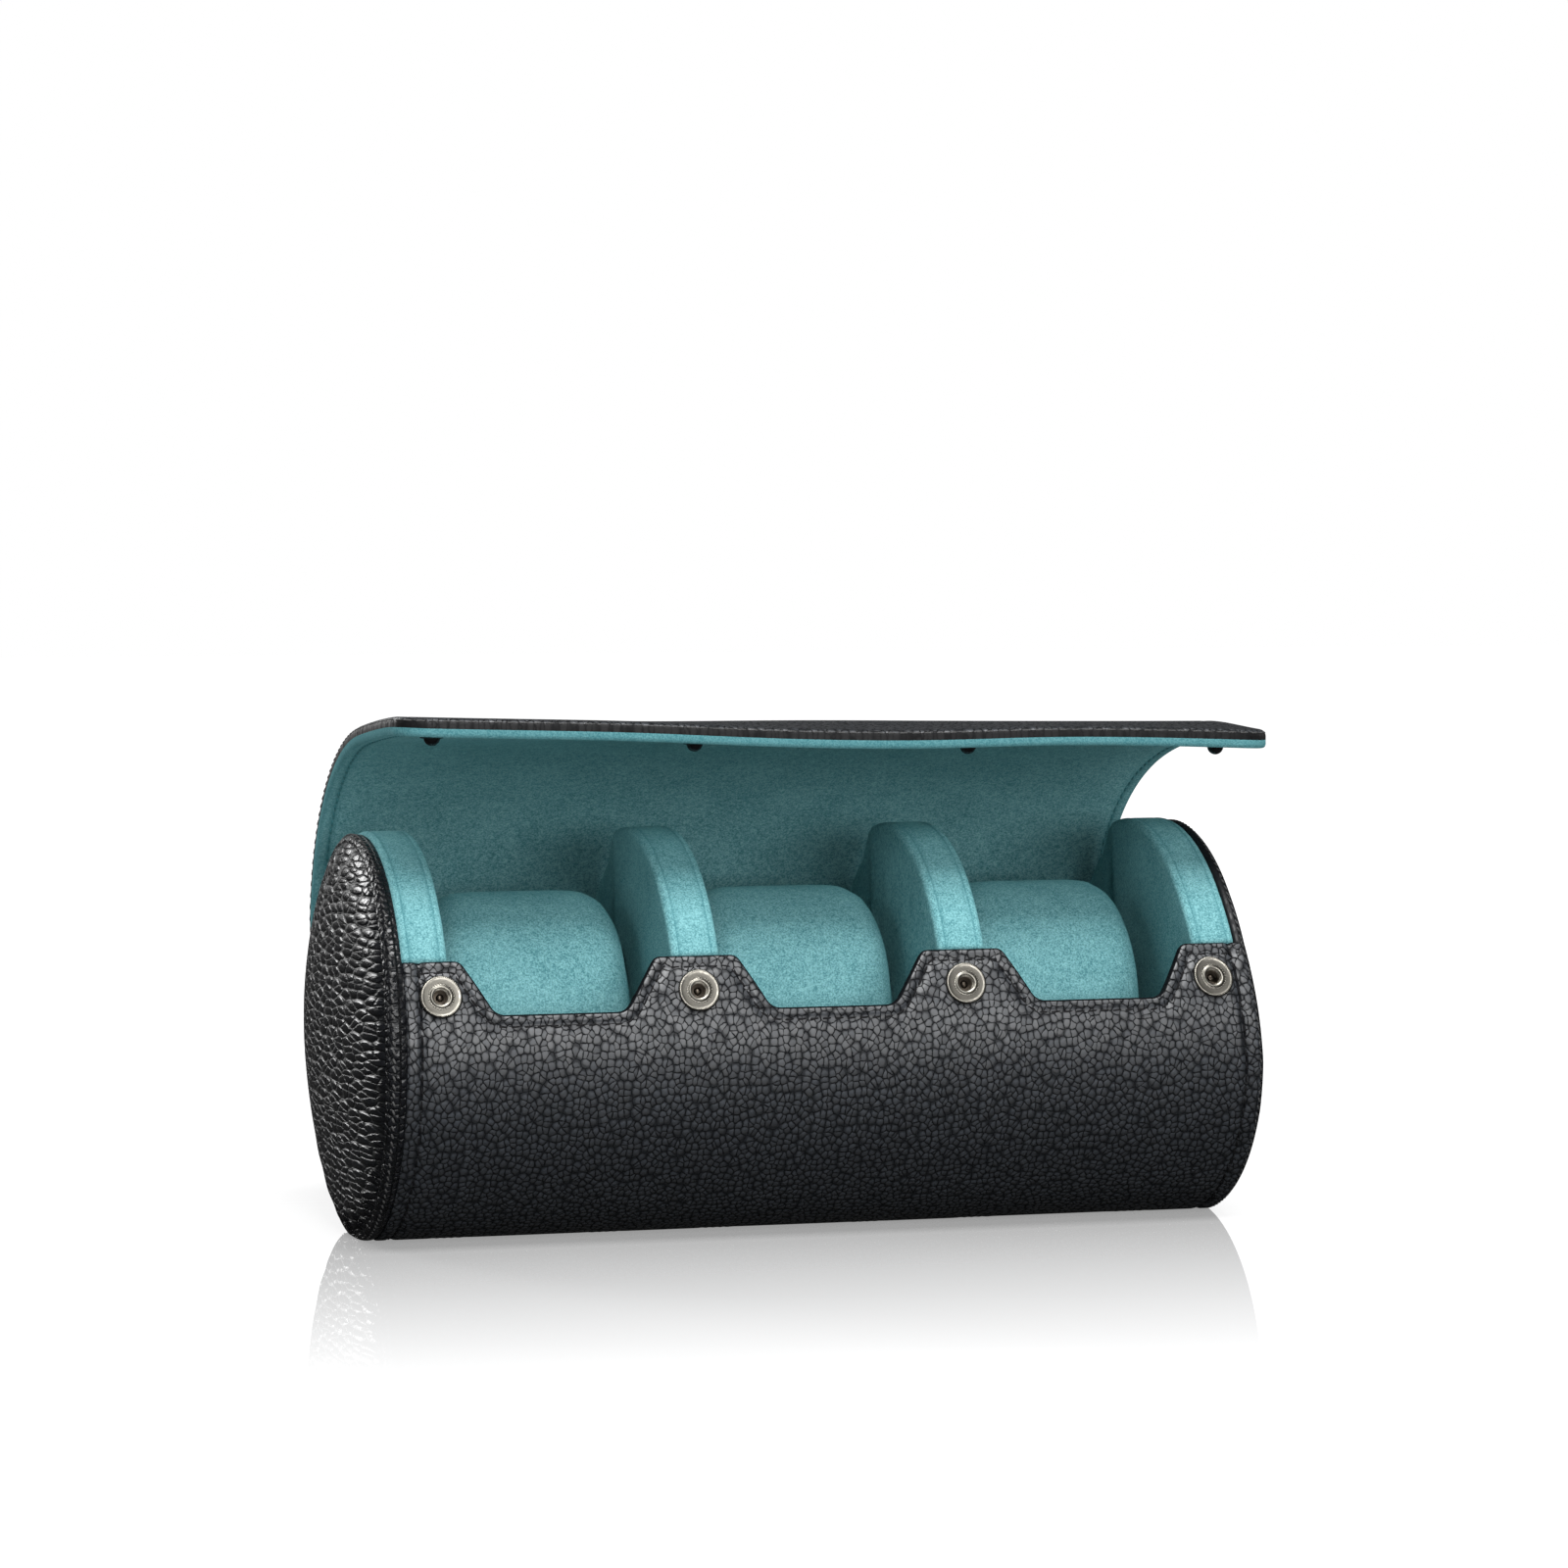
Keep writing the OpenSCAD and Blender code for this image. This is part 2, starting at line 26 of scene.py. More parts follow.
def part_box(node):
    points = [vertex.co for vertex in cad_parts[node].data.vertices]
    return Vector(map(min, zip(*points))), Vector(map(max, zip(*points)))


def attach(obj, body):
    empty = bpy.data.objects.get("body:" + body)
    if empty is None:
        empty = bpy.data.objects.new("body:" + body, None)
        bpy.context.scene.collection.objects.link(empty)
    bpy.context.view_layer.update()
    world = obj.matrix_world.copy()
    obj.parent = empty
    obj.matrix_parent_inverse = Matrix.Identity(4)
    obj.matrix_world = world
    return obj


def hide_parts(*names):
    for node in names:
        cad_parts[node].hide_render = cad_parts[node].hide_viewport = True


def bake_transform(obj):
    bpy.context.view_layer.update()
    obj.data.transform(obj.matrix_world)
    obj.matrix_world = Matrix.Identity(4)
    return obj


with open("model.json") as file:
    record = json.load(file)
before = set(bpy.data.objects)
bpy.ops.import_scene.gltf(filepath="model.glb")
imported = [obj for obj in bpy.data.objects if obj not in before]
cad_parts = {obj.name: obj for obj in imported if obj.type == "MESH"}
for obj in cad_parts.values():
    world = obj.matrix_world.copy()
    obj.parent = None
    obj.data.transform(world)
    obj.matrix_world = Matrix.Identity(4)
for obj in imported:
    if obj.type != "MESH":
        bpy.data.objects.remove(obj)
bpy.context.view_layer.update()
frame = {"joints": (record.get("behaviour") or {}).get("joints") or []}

log = logging.getLogger("travel_case")
MM = 0.001
FLAT, EDGE = "flat", "edge"
TINY = 1e-18
SHARP = math.radians(62)
FULL_TURN = 2 * math.pi
FINE_MERGE = 1e-7
NO_MERGE = 1e-8
Array = np.ndarray
Piece, Material, Socket = bpy.types.Object, bpy.types.Material, bpy.types.NodeSocket
Colour = tuple[float, float, float, float]
Pair = tuple[float, float]
Triple = tuple[float, float, float]


# ------------------------------------------------------------------ shared sizes

@dataclass(frozen=True)
class CaseForm:
    """Sizes that the sub-assemblies share."""

    radius: float = 50 * MM
    wall: float = 4 * MM
    foot_half: float = 11 * MM
    half_length: float = 110 * MM
    shell_half: float = 105.7 * MM
    right_half: float = 108.2 * MM
    divider_x: float = 33.6 * MM
    snap_angle: float = math.radians(180 - 15.9)
    snap_inset: float = 8.9 * MM
    snap_shift: float = 1.1 * MM
    lean_from: float = 45 * MM
    lean: tuple[Pair, ...] = (
        (0, 3.4), (19, 3.1), (29, 2.9), (41, 2.3), (54, 0.8), (70, -1.2), (82, -2.0), (94, -2.4),
        (104, -2.7))
    swell: float = 1.6 * MM
    swell_height: float = 52 * MM
    swell_spread: float = 34 * MM
    swell_depth: float = 4 * MM

    @property
    def axis_height(self) -> float:
        """Height of the case axis over the foot."""
        return math.sqrt(self.radius**2 - self.foot_half**2)

    @property
    def snap_places(self) -> tuple[float, ...]:
        """Places of the four snaps along the case."""
        end = self.shell_half - self.snap_inset
        return (-end, -self.divider_x, self.divider_x, end + self.snap_shift)

    def leaned(self, points: Array) -> Array:
        """Leans the soft case's right end inwards at its top and swells its left end.

        Args:
            points: places, shape (..., 3).

        Returns:
            The places with X moved: at the right by a smooth curve of the height, which grows to the
            end; at the left by a bell curve of the height, which grows over the end's own thickness.
        """
        table = np.array(self.lean) * MM
        x, z = points[..., 0], points[..., 2]
        share = smooth((x - self.lean_from) / (self.half_length - self.lean_from))
        beyond = np.clip((-x - self.shell_half) / self.swell_depth, 0, 1)
        swell = self.swell * bell(z, self.swell_height, self.swell_spread)
        moved = points.copy()
        moved[..., 0] += np.interp(z, table[:, 0], table[:, 1]) * share - swell * beyond
        return moved

    def on_section(self, radius: Array, angle: Array, depth: float = 0.0
                   ) -> tuple[Array, Array]:
        """Y and Z of places round the case axis, cut flat over the foot.

        Args:
            radius: distances from the axis.
            angle: plane angles.
            depth: how far the flat lies inside the outermost one.

        Returns:
            Y and Z, where Z is never under the flat.
        """
        floor = -(self.axis_height - depth)
        z = np.maximum(radius * np.sin(angle), floor)
        return radius * np.cos(angle), z + self.axis_height


FORM = CaseForm()


# ------------------------------------------------------------------ curves

def smooth(t: Array) -> Array:
    """Smoothstep of t, which is cut to 0 and 1."""
    t = np.clip(t, 0, 1)
    return t * t * (3 - 2 * t)


def bell(distance: Array, centre: float, width: float) -> Array:
    """Bell curve of the distance: 1 at its centre, as on a seam, and 0 well away from it."""
    return np.exp(-((distance - centre) / width) ** 2)


def rounding(distance: Array, radius: float) -> Array:
    """How far a surface drops at a distance from an edge that is rounded by a radius."""
    t = 1 - np.clip(distance / radius, 0, 1)
    return radius * (1 - np.sqrt(np.maximum(1 - t * t, 0)))


def stacked(*parts: Array | float) -> Array:
    """Coordinates, broadcast to one shape, as points along a new last axis.

    Three of them also make a flat place: the place along the case, the length over the surface
    and the height.
    """
    return np.stack(np.broadcast_arrays(*parts), axis=-1)


def unit(vectors: Array) -> Array:
    """The vectors, shape (..., n), made one long."""
    return vectors / np.linalg.norm(vectors, axis=-1, keepdims=True)


def beside(steps: Array) -> Array:
    """Steps in the plane, shape (n, 2), turned a quarter to their right."""
    return stacked(steps[:, 1], -steps[:, 0])


def polar(radius: float, angles: Array) -> Array:
    """Points in the plane at a radius and at plane angles."""
    return radius * stacked(np.cos(angles), np.sin(angles))


def ring(count: int, start: float = 0.0) -> Array:
    """Angles of count even steps round a full turn."""
    return np.linspace(0, FULL_TURN, count, endpoint=False) + start


def run_along(line: Array) -> Array:
    """Length along a polyline up to each of its points."""
    return np.concatenate([[0], np.cumsum(np.linalg.norm(np.diff(line, axis=0), axis=1))])


def spaced(ends: Sequence[float], fine: float, coarse: float, reach: float) -> Array:
    """Numbers from ends[0] to ends[1] that lie closer together near both ends.

    Args:
        ends: first and last number.
        fine: spacing at the ends.
        coarse: spacing in the middle.
        reach: length over which the spacing grows.

    Returns:
        The rising numbers.
    """
    low, high = ends
    near = np.cumsum(np.linspace(fine, coarse, max(2, int(2 * reach / (fine + coarse)))))
    near = near[near < (high - low) / 2 - coarse / 2]
    count = max(2, int((high - low - 2 * near[-1]) / coarse) + 1)
    middle = np.linspace(near[-1], high - low - near[-1], count)
    far = (high - low - near[:-1])[::-1]
    return low + np.concatenate([[0], near[:-1], middle, far, [high - low]])


def spline(knots: Sequence[Sequence[float]], count: int) -> Array:
    """Natural cubic spline through knots, evenly spaced by its length.

    Args:
        knots: points in any number of dimensions.
        count: number of points wanted.

    Returns:
        Points, shape (count, dimensions).
    """
    per_knot = 40
    p = np.asarray(knots, float)
    t = run_along(p)
    h = np.diff(t)[:, None]
    n = len(p)
    a = np.eye(n)
    b = np.zeros_like(p)
    inner = np.arange(1, n - 1)
    a[inner, inner - 1] = h[:-1, 0]
    a[inner, inner] = 2 * (h[:-1, 0] + h[1:, 0])
    a[inner, inner + 1] = h[1:, 0]
    slope = np.diff(p, axis=0) / h
    b[1:-1] = 6 * np.diff(slope, axis=0)
    m = np.linalg.solve(a, b)
    u = np.linspace(0, t[-1], per_knot * n)
    k = np.clip(np.searchsorted(t, u, "right") - 1, 0, n - 2)
    s, hk = (u - t[k])[:, None], h[k]
    dense = (p[k] + s * (slope[k] - hk * (2 * m[k] + m[k + 1]) / 6)
             + s**2 * m[k] / 2 + s**3 * (m[k + 1] - m[k]) / (6 * hk))
    return resampled(dense, count)


def resampled(line: Array, count: int) -> Array:
    """Count points evenly spaced along a polyline."""
    run = run_along(line)
    at = np.linspace(0, run[-1], count)
    return np.stack([np.interp(at, run, line[:, i]) for i in range(line.shape[1])], axis=1)


def distance_to_line(points: Array, line: Array) -> Array:
    """Least distance in the plane from points (..., 2) to the segments of a polyline (n, 2)."""
    at_once = 4000
    start, step = line[:-1], np.diff(line, axis=0)
    length2 = np.maximum((step**2).sum(1), TINY)
    flat = points.reshape(-1, 2)
    best = np.full(len(flat), np.inf)
    for chunk in np.array_split(np.arange(len(flat)), max(1, len(flat) // at_once)):
        rel = flat[chunk, None, :] - start[None]
        t = np.clip((rel * step).sum(2) / length2, 0, 1)
        gap = rel - t[..., None] * step
        best[chunk] = np.sqrt((gap**2).sum(2).min(1))
    return best.reshape(points.shape[:-1])


def rounded_outline(points: Sequence[Sequence[float]], radii: Sequence[float], step: float
                    ) -> Array:
    """Open polyline whose inner corners are rounded, sampled every step.

    Args:
        points: corners.
        radii: rounding radius of each corner; the first and last aren't used.
        step: spacing of the result.

    Returns:
        Points, shape (n, 2).
    """
    arc_points = 12
    p = np.asarray(points, float)
    line = [p[0]]
    for before, corner, after, radius in zip(p[:-2], p[1:-1], p[2:], radii[1:-1]):
        u, v = unit(before - corner), unit(after - corner)
        half = math.acos(float(np.clip(u @ v, -1, 1))) / 2
        centre = corner + unit(u + v) * radius / math.sin(half)
        first = corner + u * radius / math.tan(half) - centre
        last = corner + v * radius / math.tan(half) - centre
        turn = math.atan2(first[0] * last[1] - first[1] * last[0], first @ last)
        for t in np.linspace(0, turn, arc_points):
            spin = np.array([[math.cos(t), -math.sin(t)], [math.sin(t), math.cos(t)]])
            line.append(centre + spin @ first)
    line = np.array([*line, p[-1]])
    return resampled(line, int(run_along(line)[-1] / step) + 1)


# ------------------------------------------------------------------ meshes

def quads_of(index: Array, close_u: bool = False, close_v: bool = False) -> Array:
    """Quads between a grid of point indices.

    Args:
        index: the indices, shape (u, v).
        close_u: whether the last row joins the first.
        close_v: whether the last column joins the first.

    Returns:
        Quads, shape (n, 4).
    """
    rows = np.concatenate([index, index[:1]]) if close_u else index
    both = np.concatenate([rows, rows[:, :1]], axis=1) if close_v else rows
    corners = [both[:-1, :-1], both[1:, :-1], both[1:, 1:], both[:-1, 1:]]
    return np.stack(corners, axis=-1).reshape(-1, 4)


def read_points(mesh: bpy.types.Mesh, what: str) -> Array:
    """The vertices' "co" or "normal", shape (n, 3)."""
    values = np.zeros(len(mesh.vertices) * 3)
    mesh.vertices.foreach_get(what, values)
    return values.reshape(-1, 3)


def write_looks(mesh: bpy.types.Mesh, flat: Array, edge: Array) -> None:
    """Writes the point attributes that the materials read.

    Args:
        mesh: the mesh.
        flat: each point laid flat, (n, 3).
        edge: on leather its distance to the edge, on suede the share of the light tone, lowered where shade
            is painted, (n,).
    """
    for name, kind, key, values in ((FLAT, "FLOAT_VECTOR", "vector", flat), (EDGE, "FLOAT", "value", edge)):
        attribute = mesh.attributes.get(name) or mesh.attributes.new(name, kind, "POINT")
        attribute.data.foreach_set(key, values.astype(np.float32).ravel())


@dataclass
class MeshMaker:
    """Collects grids of points and makes one closed mesh of them."""

    lean: bool = True
    points: list[Array] = field(default_factory=list)
    flats: list[Array] = field(default_factory=list)
    edges: list[Array] = field(default_factory=list)
    faces: list[Array] = field(default_factory=list)
    count: int = 0

    def grid(self, points: Array, flat: Array | None = None, edge: Array | None = None,
             close_u: bool = False, close_v: bool = False) -> Array:
        """Adds a grid of quads.

        Args:
            points: places, shape (u, v, 3).
            flat: the same grid laid flat, or None for the places themselves.
            edge: on leather distance to the edge, on suede the share of the light tone, lowered where shade
                is painted; or None for 1 everywhere.
            close_u: whether the last row joins the first.
            close_v: whether the last column joins the first.

        Returns:
            The index of each point, shape (u, v).
        """
        nu, nv = points.shape[:2]
        index = self.count + np.arange(nu * nv).reshape(nu, nv)
        self._keep(points, flat, edge, quads_of(index, close_u, close_v))
        return index

    def slab(self, upper: Sequence[Array], lower: Sequence[Array]) -> None:
        """Adds two grids that face away from each other, and joins all their borders.

        Args:
            upper: points, flat places and edge values of the upper face.
            lower: the same for the lower face, which is turned over here.
        """
        top = self.grid(*upper)
        low = self.grid(*(values[:, ::-1] for values in lower))
        for a, b in ((top[:, 0], low[:, -1]), (top[:, -1], low[:, 0]), (top[0], low[0, ::-1]),
                     (top[-1], low[-1, ::-1])):
            self.faces.append(np.stack([a[:-1], a[1:], b[1:], b[:-1]], axis=-1))

    def copies(self, shape: Array, quads: Array, places: Array, axes: Array) -> None:
        """Adds one small shape many times.

        Args:
            shape: points of the shape, (k, 3).
            quads: its faces, (f, 4).
            places: centres, (n, 3).
            axes: the shape's three axes at each place, (n, 3, 3), one axis a row.
        """
        points = places[:, None, :] + np.einsum("ki,nij->nkj", shape, axes)
        shift = self.count + np.arange(len(places))[:, None, None] * len(shape)
        self._keep(points, None, None, (quads[None] + shift).reshape(-1, 4))

    def _keep(self, points: Array, flat: Array | None, edge: Array | None,
              quads: Array) -> None:
        """Keeps points, their attributes and quads that already count from the first point."""
        points = points.reshape(-1, 3)
        self.points.append(points)
        self.flats.append(points.copy() if flat is None else flat.reshape(-1, 3))
        self.edges.append(np.ones(len(points)) if edge is None else edge.ravel())
        self.faces.append(quads)
        self.count += len(points)

    def build(self, name: str, material: Material, merge: float = 2e-6) -> Piece:
        """Makes the object, closes its seams and turns its faces outwards.

        Args:
            name: the piece's name.
            material: its material.
            merge: distance under which points become one.

        Returns:
            The new object, linked to the scene and smooth shaded.
        """
        co = np.concatenate(self.points)
        if self.lean:
            co = FORM.leaned(co)
        mesh = bpy.data.meshes.new(name)
        mesh.from_pydata(co.tolist(), [], np.concatenate(self.faces).tolist())
        write_looks(mesh, np.concatenate(self.flats), np.concatenate(self.edges))
        work = bmesh.new()
        work.from_mesh(mesh)
        bmesh.ops.remove_doubles(work, verts=work.verts, dist=merge)
        bmesh.ops.dissolve_degenerate(work, edges=work.edges, dist=merge / 4)
        bmesh.ops.recalc_face_normals(work, faces=work.faces)
        work.to_mesh(mesh)
        work.free()
        mesh.shade_smooth()
        mesh.set_sharp_from_angle(angle=SHARP)
        mesh.materials.append(material)
        piece = bpy.data.objects.new(name, mesh)
        bpy.context.scene.collection.objects.link(piece)
        return piece


def settle(piece: Piece, body: str, slot: str, *nodes: str) -> None:
    """Hands a rigid piece to the frame.

    Args:
        piece: the piece.
        body: the body that it rides on.
        slot: not used.
        nodes: the CAD nodes that it replaces.
    """
    if nodes:
        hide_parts(*nodes)
    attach(piece, body)
    log.info("made %s", piece.name)


def revolved(profile: Array, around: int,
             wave: Callable[[Array, Array], Array] | None = None) -> Array:
    """Grid of a profile turned round the local Z axis.

    Args:
        profile: radius and height of each profile point, (n, 2).
        around: number of steps round the axis.
        wave: optional share to add to the radius, from the angle and the profile index.

    Returns:
        Points, shape (around, n, 3).
    """
    angle = ring(around)[:, None]
    radius = profile[None, :, 0]
    if wave is not None:
        radius = radius * (1 + wave(angle, np.arange(len(profile))[None]))
    return stacked(radius * np.cos(angle), radius * np.sin(angle), profile[None, :, 1])


def stitch_shape(length: float, width: float, height: float) -> tuple[Array, Array]:
    """One stitch: a thread that rises out of its holes, as an ellipsoid of rings of points.

    Args:
        length: size along the seam, local X.
        width: size across the seam.
        height: size off the surface, local Z.

    Returns:
        Points and quads.
    """
    sides = 6
    t = np.linspace(0, math.pi, sides)[:, None]
    a = ring(sides)
    swell = np.sqrt(np.maximum(np.sin(t), 0))
    grid = stacked(-np.cos(t) * length / 2, swell * np.cos(a) * width / 2, swell * np.sin(a) * height / 2)
    return grid.reshape(-1, 3), quads_of(np.arange(sides**2).reshape(sides, sides), close_v=True)


def seam_axes(line: Array, normals: Array, tilt: float) -> Array:
    """Axes along, across and off a seam at each of its points.

    Args:
        line: points of the seam, (n, 3).
        normals: the surface's normals there, (n, 3).
        tilt: turn of each stitch in the surface, in radians.

    Returns:
        Axes, shape (n, 3, 3).
    """
    along, off = unit(np.gradient(line, axis=0)), unit(normals)
    turned = along * math.cos(tilt) + np.cross(off, along) * math.sin(tilt)
    return np.stack([turned, np.cross(off, turned), off], axis=1)


@dataclass(frozen=True)
class Stitch:
    """The stitches of a seam: one size each, a little turned out of the seam, at an even pitch."""

    length: float = 2.3 * MM
    width: float = 0.6 * MM
    height: float = 0.5 * MM
    tilt: float = 0.12
    pitch: float = 3.1 * MM

    def spots(self, line: Array) -> Array:
        """Places of the stitches along a polyline."""
        return resampled(line, int(run_along(line)[-1] / self.pitch))

    def sew(self, maker: MeshMaker, points: Array, normals: Array, keep: Array | slice = slice(None)) -> None:
        """Adds the stitches.

        Args:
            maker: takes them.
            points: their places, (n, 3).
            normals: the surface's normals there, (n, 3).
            keep: which of them are sewn.
        """
        axes = seam_axes(points, normals, self.tilt)
        maker.copies(*stitch_shape(self.length, self.width, self.height), points[keep], axes[keep])


# ------------------------------------------------------------------ materials

class NodeGraph:
    """Adds and links nodes of a material, a world or a group."""

    def __init__(self, tree: bpy.types.NodeTree) -> None:
        """Works on tree."""
        self.tree = tree

    def node(self, kind: str, inputs: dict | None = None, **settings: object) -> bpy.types.Node:
        """Adds a node.

        Args:
            kind: the node's type name without its "ShaderNode" prefix.
            inputs: socket name or number to a value or to another node's output.
            settings: properties of the node.

        Returns:
            The node.
        """
        made = self.tree.nodes.new(kind if kind.startswith("Node") else "ShaderNode" + kind)
        for key, value in settings.items():
            setattr(made, key, value)
        self.feed(made, inputs or {})
        return made

    def feed(self, made: bpy.types.Node, inputs: dict) -> None:
        """Sets a node's inputs from values or links them from other nodes' outputs."""
        for key, value in inputs.items():
            if isinstance(value, Socket):
                self.tree.links.new(value, made.inputs[key])
            else:
                made.inputs[key].default_value = value

    def math(self, operation: str, *values: object, clamp: bool = False) -> Socket:
        """Result of a Math node over numbers or sockets."""
        made = self.node("Math", dict(enumerate(values)), operation=operation, use_clamp=clamp)
        return made.outputs[0]

    def plus(self, *terms: object) -> Socket:
        """Sum of numbers or sockets."""
        return reduce(lambda a, b: self.math("ADD", a, b), terms)

    def times(self, *factors: object) -> Socket:
        """Product of numbers or sockets."""
        return reduce(lambda a, b: self.math("MULTIPLY", a, b), factors)

    def less(self, value: object, part: object) -> Socket:
        """Value without a part of it."""
        return self.math("SUBTRACT", value, part)

    def ramp(self, value: Socket, ends: Pair, to: Pair = (0.0, 1.0)) -> Socket:
        """Value taken smoothly from one pair of ends to another."""
        made = self.node("MapRange", {0: value, 1: ends[0], 2: ends[1], 3: to[0], 4: to[1]},
                         interpolation_type="SMOOTHSTEP")
        return made.outputs[0]

    def mix(self, share: object, a: object, b: object) -> Socket:
        """Colour between a and b."""
        return self.node("Mix", {0: share, 6: a, 7: b}, data_type="RGBA").outputs[2]

    def noise(self, place: Socket, scale: object, detail: float, **more: float
              ) -> bpy.types.Node:
        """Noise over a place; more holds further inputs by name."""
        inputs = {"Vector": place, "Scale": scale, "Detail": detail}
        return self.node("TexNoise", inputs | {name.capitalize(): value for name, value in more.items()})

    def vector(self, operation: str, inputs: dict) -> Socket:
        """Result of a Vector Math node."""
        return self.node("VectorMath", inputs, operation=operation).outputs[0]

    def attribute(self, name: str, output: str) -> Socket:
        """A mesh attribute, as its "Vector" or "Fac"."""
        return self.node("Attribute", attribute_name=name).outputs[output]

    def bump(self, height: Socket, distance: float, strength: float) -> Socket:
        """Normal bent by a height."""
        inputs = {"Height": height, "Distance": distance, "Strength": strength}
        return self.node("Bump", inputs).outputs[0]

    def surface(self, inputs: dict) -> None:
        """Adds the material's Principled shader and its output."""
        shader = self.node("BsdfPrincipled", inputs)
        self.node("OutputMaterial", {0: shader.outputs[0]})


def rgb(red: float, green: float, blue: float) -> Colour:
    """Colour with full alpha."""
    return (red, green, blue, 1.0)


def grey(value: float) -> Colour:
    """Neutral colour with full alpha."""
    return rgb(value, value, value)


def darker(colour: Colour, share: float) -> Colour:
    """Colour taken down to a share of itself."""
    return rgb(*[c * share for c in colour[:3]])


BLACK, WHITE = grey(0), grey(1)


def new_group(name: str, inputs: dict[str, tuple[str, object]], outputs: dict[str, str]
              ) -> tuple[NodeGraph, bpy.types.NodeOutputs, bpy.types.Node]:
    """Makes an empty shader group with named sockets.

    Args:
        name: the group's name.
        inputs: input name to socket type and default.
        outputs: output name to socket type.

    Returns:
        The group's graph, its inputs as sockets to link from, and its output node.
    """
    tree = bpy.data.node_groups.new(name, "ShaderNodeTree")
    for label, (kind, default) in inputs.items():
        socket = tree.interface.new_socket(label, in_out="INPUT", socket_type="NodeSocket" + kind)
        if default is not None:
            socket.default_value = default
    for label, kind in outputs.items():
        tree.interface.new_socket(label, in_out="OUTPUT", socket_type="NodeSocket" + kind)
    graph = NodeGraph(tree)
    return graph, graph.node("NodeGroupInput").outputs, graph.node("NodeGroupOutput")


def pebble_group() -> bpy.types.NodeTree:
    """Pebbled grain: rounded cells parted by creases, with pores. It reads a flat place's X and Y.

    The place is bent by a noise of about one cell, so the cells are uneven. The height is half
    the pebble's own plateau, plus its dome and the pores; it is nothing on the painted edge. The
    colour is painted shade towards each cell's corners and in the creases, where it falls to the
    crease colour; each cell's own tone differs at random.
    """
    g, given, end = new_group(
        "pebble_grain",
        {"Place": ("Vector", None), "Edge": ("Float", 1.0), "Cell": ("Float", 2.3 * MM),
         "Crease Shade Colour": ("Color", BLACK), "Cell Colour": ("Color", BLACK),
         "Edge Paint And Seam Shade Colour": ("Color", BLACK), "Paint Width": ("Float", 1 * MM),
         "Roughness": ("Float", 0.4), "Dome": ("Float", 0.45)},
        {"Color": "Color", "Roughness": "Float", "Height": "Float", "Polish": "Float"})
    place, size = given["Place"], given["Cell"]
    scale = g.math("DIVIDE", 1.0, size)
    bend, uneven = (g.noise(place, g.times(scale, finer), detail)
                    for finer, detail in ((1.1, 2.0), (1.7, 1.0)))
    shift = g.vector("SUBTRACT", {0: bend.outputs["Color"], 1: (0.5, 0.5, 0.5)})
    shift = g.vector("SCALE", {0: shift, "Scale": g.times(size, 0.45)})
    moved = g.vector("ADD", {0: place, 1: shift})
    edge, cell = (g.node("TexVoronoi", {"Vector": moved, "Scale": scale, "Randomness": 0.95},
                         feature=feature, voronoi_dimensions="2D") for feature in ("DISTANCE_TO_EDGE", "F1"))
    off_centre = cell.outputs["Distance"]
    waver = g.times(g.less(uneven.outputs[0], 0.5), 0.16)
    crease = g.ramp(g.plus(edge.outputs["Distance"], waver), (0.0, 0.13))
    # Painted shade: each cell dims towards its corners (full) and into the creases (crease); their product,
    # pebble, also shapes the relief.
    full = g.ramp(off_centre, (0.35, 0.66), (1.0, 0.35))
    dome = g.ramp(off_centre, (0.0, 0.70), (1.0, 0.0))
    pebble = g.times(crease, full)
    pores, slow = (g.noise(place, fineness, 2.0).outputs[0] for fineness in (2600.0, 38.0))
    leather = g.math("GREATER_THAN", given["Edge"], given["Paint Width"])
    body = g.plus(g.times(pebble, 0.50), g.times(dome, given["Dome"]), g.times(pores, 0.05))
    # Each cell's own tone and polish differ at random.
    tone = g.node("SeparateColor", {0: cell.outputs["Color"]}).outputs
    shade, worn = (g.plus(g.times(tone[i], share), 1 - share) for i, share in ((0, 0.35), (1, 0.45)))
    lit = g.vector("SCALE", {0: given["Cell Colour"], "Scale": shade})
    # Painted shade: where pebble falls, the cell colour gives way to the dark crease colour.
    hide = g.mix(pebble, given["Crease Shade Colour"], lit)
    rough = g.plus(given["Roughness"], g.times(slow, 0.10), g.times(g.less(1.0, pebble), 0.30),
                   g.times(g.less(1.0, leather), 0.15))
    g.feed(end, {"Height": g.times(body, leather), "Polish": g.times(pebble, g.times(worn, leather)),
                 "Color": g.mix(leather, given["Edge Paint And Seam Shade Colour"], hide), "Roughness": rough})
    return g.tree


def nap_group() -> bpy.types.NodeTree:
    """Suede nap: brushed patches, short fibres and the tufts between the two in size. A Seam value under 1 is
    painted shade, in seam grooves and along the lid lining's front edge.
    """
    g, given, end = new_group(
        "suede_nap",
        {"Place": ("Vector", None), "Dark": ("Color", BLACK), "Light": ("Color", BLACK),
         "Seam": ("Float", 1.0)},
        {"Color": "Color", "Height": "Float"})
    place = given["Place"]
    patch = g.noise(place, 75.0, 4.0, roughness=0.6, distortion=0.5).outputs[0]
    fibre = g.noise(place, 2300.0, 3.0, roughness=0.7).outputs[0]
    tuft = g.noise(place, 700.0, 2.0).outputs[0]
    share = g.plus(g.ramp(patch, (0.30, 0.70), (0.0, 0.13)), g.ramp(fibre, (0.34, 0.68), (0.0, 0.70)))
    share = g.math("ADD", share, g.ramp(tuft, (0.34, 0.68), (0.0, 0.17)), clamp=True)
    # Painted shade: a Seam value under 1 pulls the colour towards the dark tone.
    share = g.times(share, given["Seam"])
    g.feed(end, {"Color": g.mix(share, given["Dark"], given["Light"]),
                 "Height": g.plus(fibre, g.times(tuft, 0.8))})
    return g.tree


